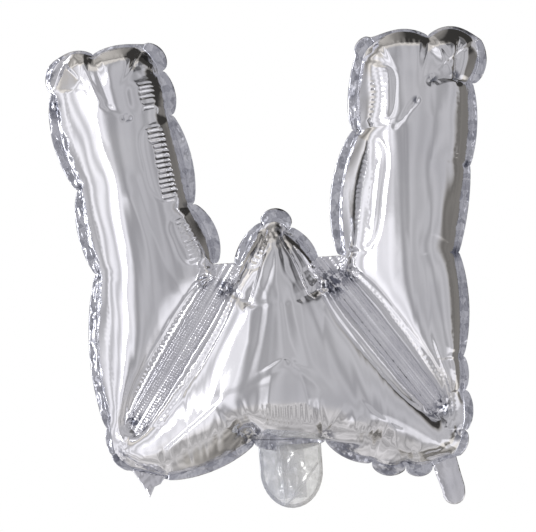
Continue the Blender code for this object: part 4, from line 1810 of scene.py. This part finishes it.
@dataclass
class Tabs:
    """The ribbon tab and the tab folded up into a point."""

    # In millimetres: the ribbon tab's two sides and its round end, the folded tab's corners, the wall.
    finish: bpy.types.Material
    right_side: Line = ((133, -18.5), (136, -33), (138.5, -44))
    left_side: Line = ((120, -46), (116.5, -35), (113.8, -24.5))
    end_middle: Point = (129.5, -49)
    end_radius: float = 9.0
    folded: Line = (
        (-99.5, -19.5), (-104, -25), (-109, -27), (-113, -35), (-118, -26), (-126, -12.5),
    )
    wall: float = 0.3

    def build(self) -> list[bpy.types.Object]:
        """Makes both tabs.

        Returns:
            The pieces.
        """
        return [self._ribbon(), self._pointed()]

    def _ribbon(self) -> bpy.types.Object:
        """Makes the tab that hangs at the lower right, a little curled.

        Returns:
            The piece.
        """
        turn = np.linspace(0, -math.pi, 13)
        x, z = self.end_middle
        end = np.stack([x + self.end_radius * np.cos(turn), z + self.end_radius * np.sin(turn)], 1)
        points, faces = flat_piece(np.concatenate([self.right_side, end, self.left_side]), 1.6, 7)
        middle = 123 + (points[:, 1] + 20) * -0.22
        curl = 0.7 * np.sin((points[:, 1] + 20) / 9) + 0.012 * (points[:, 0] - middle) ** 2
        curl += 0.35 * crumple(points, 14, 6.0) * np.clip((points[:, 1] + 52) / 20, 0, 1)
        shape = np.stack([points[:, 0], curl, points[:, 1]], 1)
        return put("ribbon_tab", shape, faces, self.finish, Slot.SILVER, "hanging_tab", self.wall)

    def _pointed(self) -> bpy.types.Object:
        """Makes the tab at the lower left, folded up so that a point shows.

        Returns:
            The piece.
        """
        points, faces = flat_piece(np.array(self.folded), 1.4, 8)
        lift = -1.0 - 0.02 * (points[:, 1] + 12) ** 2 * 0.4 + 0.5 * crumple(points, 8, 2.0)
        shape = np.stack([points[:, 0], lift, points[:, 1]], 1)
        return put("pointed_tab", shape, faces, self.finish, Slot.SILVER, "folded_tab", self.wall)


# Studio


@dataclass(frozen=True)
class Room:
    """The room that the film mirrors, as brightness over its directions in degrees.

    Turn is the way round, 0 behind the camera and more to the right. Lift is the way up, and arch the
    way over, from the camera's side to the back. A tall soft box stands on the left.
    """

    x: Sock
    z: Sock
    turn: Sock
    lift: Sock
    arch: Sock
    wall: float = 0.475
    darkest: float = 0.04
    cool: Colour = (0.958, 0.948, 1.0)
    warm: Colour = (1.0, 0.95, 0.90)

    def _bands(self, angle: Sock, width: float, phase: float) -> Sock:
        """Bands of lighter and darker wall.

        Args:
            angle: Direction in degrees.
            width: Width of a band and a gap, in degrees.
            phase: Where they start.

        Returns:
            -1 to 1.
        """
        return (angle * (2 * math.pi / width) + phase).through("SINE")

    @cached_property
    def box(self) -> Sock:
        """The soft box on the left, banded and duller at its far side and across its middle.

        Returns:
            What it adds to the brightness.
        """
        left = -self.turn
        box = left.window((14, 34), (98, 122)) * self.lift.window((-64, -36), (44, 64))
        gap = self.lift.window((2, 7), (12, 17)) * self.turn.between(-54, -40)
        side = left.between(52, 78)
        bands = self._bands(self.turn, 25.0, 2.2) * (side * 0.1 + 0.1)
        return box * (gap * -0.55 + 1.0) * (bands + side * -0.11 + 0.5)

    @cached_property
    def right(self) -> Sock:
        """How far a direction points into the dark on the right."""
        return self.turn.between(76, 96) * self.x.between(0.0, 0.3)

    @cached_property
    def over(self) -> Sock:
        """How far a direction points into the dark above."""
        return self.arch.between(85, 100) * self.z.between(0.2, 0.45)

    @cached_property
    def lamp(self) -> Sock:
        """The bright strip under the ceiling, before the dark above."""
        strip = self.arch.window((64, 76), (86, 96)) * self.z.between(0.6, 0.8)
        return strip * (0.4 - self.x).between(0, 0.25)

    @cached_property
    def under(self) -> Sock:
        """How far a direction points down to the ground."""
        return (-self.lift).between(30, 54)

    def brightness(self) -> Sock:
        """How bright the room is in each direction.

        Returns:
            The brightness, 0 to about 1.
        """
        turn, down, right, over = self.turn, -self.lift, self.right, self.over
        low = turn.window((28, 44), (112, 132)) * down.window((15, 24), (33, 42))
        high = turn.window((30, 48), (90, 110)) * self.lift.between(32, 46)
        behind = (-turn).between(112, 140) * (-self.x).between(0.0, 0.3)
        rear = (turn.between(120, 150) + (-turn).between(120, 150)) * down.between(5, 20)
        waves = self._bands(turn, 27.0, 1.3) * 0.05 + self._bands(turn, 58.0, 0.4) * 0.045
        shade = self.x * 0.03 + self.wall + waves * (right * -0.7 + 1.0) + low * 0.42
        shade = shade - high * (1 - right) * (1 - over) * 0.36 + behind * 0.2
        shade = shade - right * (low * -0.9 + 1.0) * 0.31
        shade = shade - over * (right * -0.4 + 1.0) * 0.2 + self.lamp * 0.2
        ground = self._bands(turn, 15.0, 0.9) * 0.08 + self._bands(turn, 70.0, 0.6) * 0.08 + 0.06
        shade = shade + self.under * ground - over * self.x.between(-0.05, 0.2) * 0.16
        shade = shade + rear * self._bands(self.lift, 22.0, 0.6) * 0.06
        return (shade + self.box).through("MAXIMUM", self.darkest)

    def tint(self) -> Sock:
        """The room's colour, warm in the dark parts and near the lamp and the ground."""
        warm = self.right + self.over + self.lamp + self.under * 0.4
        return warm.through("MINIMUM", 1.0).blend(self.cool, self.warm)


@dataclass
class Studio:
    """A pale room with a soft light, and the camera that took the picture."""

    # The camera aims at x, z in millimetres and is rolled in degrees. The rest is in metres and watts.
    aim: Point = (-6.4, 142.6)
    roll: float = 4.0
    distance: float = 1.4
    frame_width: float = 0.4288
    light_place: tuple[float, float, float] = (-1.15, -1.0, 0.3)
    light_aim: tuple[float, float, float] = (0.0, 0.0, 0.15)
    light_size: tuple[float, float] = (0.25, 1.3)
    light_power: float = 5.0
    floor: float = -0.6
    floor_radius: float = 0.45

    def build(self) -> None:
        """Sets the camera, the room, the light and the floor."""
        self._camera()
        self._room()
        self._light()
        self._floor()

    def _camera(self) -> None:
        """A long lens, level with the balloon and rolled as in the picture."""
        lens = bpy.data.cameras.new("picture_camera")
        lens.sensor_width = 36.0
        lens.lens = lens.sensor_width * self.distance / self.frame_width
        camera = bpy.data.objects.new("picture_camera", lens)
        bpy.context.scene.collection.objects.link(camera)
        turn = math.radians(self.roll)
        right = Vector((math.cos(turn), 0, -math.sin(turn)))
        up = Vector((math.sin(turn), 0, math.cos(turn)))
        back = Vector((0, -1, 0))
        axes = Matrix((right, up, back)).transposed().to_4x4()
        axes.translation = Vector((self.aim[0] * MM, -self.distance, self.aim[1] * MM))
        camera.matrix_world = axes
        bpy.context.scene.camera = camera

    def _room(self) -> None:
        """The room in the mirror of the film, and plain white where the camera looks past the balloon."""
        world = bpy.data.worlds.new("studio_room")
        bpy.context.scene.world = world
        world.use_nodes = True
        tree = world.node_tree
        background = tree.nodes["Background"]
        split = tree.nodes.new("ShaderNodeSeparateXYZ")
        tree.links.new(tree.nodes.new("ShaderNodeTexCoord").outputs["Generated"], split.inputs[0])
        x, y, z = (Sock(tree, split.outputs[k]) for k in range(3))
        degrees = 180 / math.pi
        turn = x.through("ARCTAN2", -y) * degrees
        lift = z.through("ARCSINE") * degrees
        arch = z.through("ARCTAN2", -y) * degrees
        room = Room(x, z, turn, lift, arch)
        scaled = tree.nodes.new("ShaderNodeVectorMath")
        scaled.operation = "SCALE"
        room.tint().into(scaled.inputs[0])
        room.brightness().into(scaled.inputs["Scale"])
        tree.links.new(scaled.outputs[0], background.inputs["Color"])
        white = tree.nodes.new("ShaderNodeBackground")
        white.inputs["Color"].default_value = (1, 1, 1, 1)
        seen = tree.nodes.new("ShaderNodeLightPath")
        mix = tree.nodes.new("ShaderNodeMixShader")
        tree.links.new(seen.outputs["Is Camera Ray"], mix.inputs[0])
        tree.links.new(background.outputs[0], mix.inputs[1])
        tree.links.new(white.outputs[0], mix.inputs[2])
        tree.links.new(mix.outputs[0], tree.nodes["World Output"].inputs["Surface"])
        bpy.context.scene.view_settings.view_transform = "Standard"

    def _light(self) -> None:
        """A tall soft light on the left, before the balloon."""
        lamp = bpy.data.lights.new("soft_light_left", "AREA")
        lamp.shape = "RECTANGLE"
        lamp.size, lamp.size_y = self.light_size
        lamp.energy = self.light_power
        light = bpy.data.objects.new("soft_light_left", lamp)
        bpy.context.scene.collection.objects.link(light)
        light.location = self.light_place
        way = Vector(self.light_aim) - Vector(self.light_place)
        light.rotation_euler = way.to_track_quat("-Z", "Y").to_euler()

    def _floor(self) -> None:
        """A pale round floor, well below the balloon, which the film doesn't mirror."""
        bpy.ops.object.select_all(action="DESELECT")
        bpy.ops.mesh.primitive_circle_add(
            vertices=96, radius=self.floor_radius, fill_type="NGON", location=(0, 0, self.floor)
        )
        floor = bpy.context.object
        floor.name = "studio_floor"
        paint = Paint("pale_floor")
        paint.set(roughness=0.6)
        paint.grain(6, 3).blend((0.9, 0.9, 0.9), (0.84, 0.84, 0.84)).into(paint.shader.inputs["Base Color"])
        floor.data.materials.append(paint.material)
        floor.visible_glossy = False


def main() -> None:
    """Builds and dresses the balloon and sets up the studio."""
    logging.basicConfig(level=logging.INFO)
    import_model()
    mirror, welded, pleated = MirrorFilm().make(), WeldedFilm().make(), PleatedFilm().make()
    clear, milky = ClearFilm().make(), SleeveFilm().make()
    weld = WeldLine()
    film = CutFilm(weld)
    shape = Inflation(film).run()
    log.info("film: %d points, box %s to %s", len(shape), shape.min(0).round(1), shape.max(0).round(1))
    Envelope(film, shape, mirror).build()
    Edge(weld, welded).build()
    for run, top in WEB_TOPS.items():
        Web(weld, pleated, run, top).build()
    Tail(clear).build()
    Tabs(pleated).build()
    for node, finish in (("tail_seam", clear), ("valve_sleeve", milky)):
        thing = bpy.data.objects.get(node)
        thing.data.materials.clear()
        thing.data.materials.append(finish)
        log.info("%s keeps its shape", node)
    Studio().build()


if __name__ == "__main__":
    main()
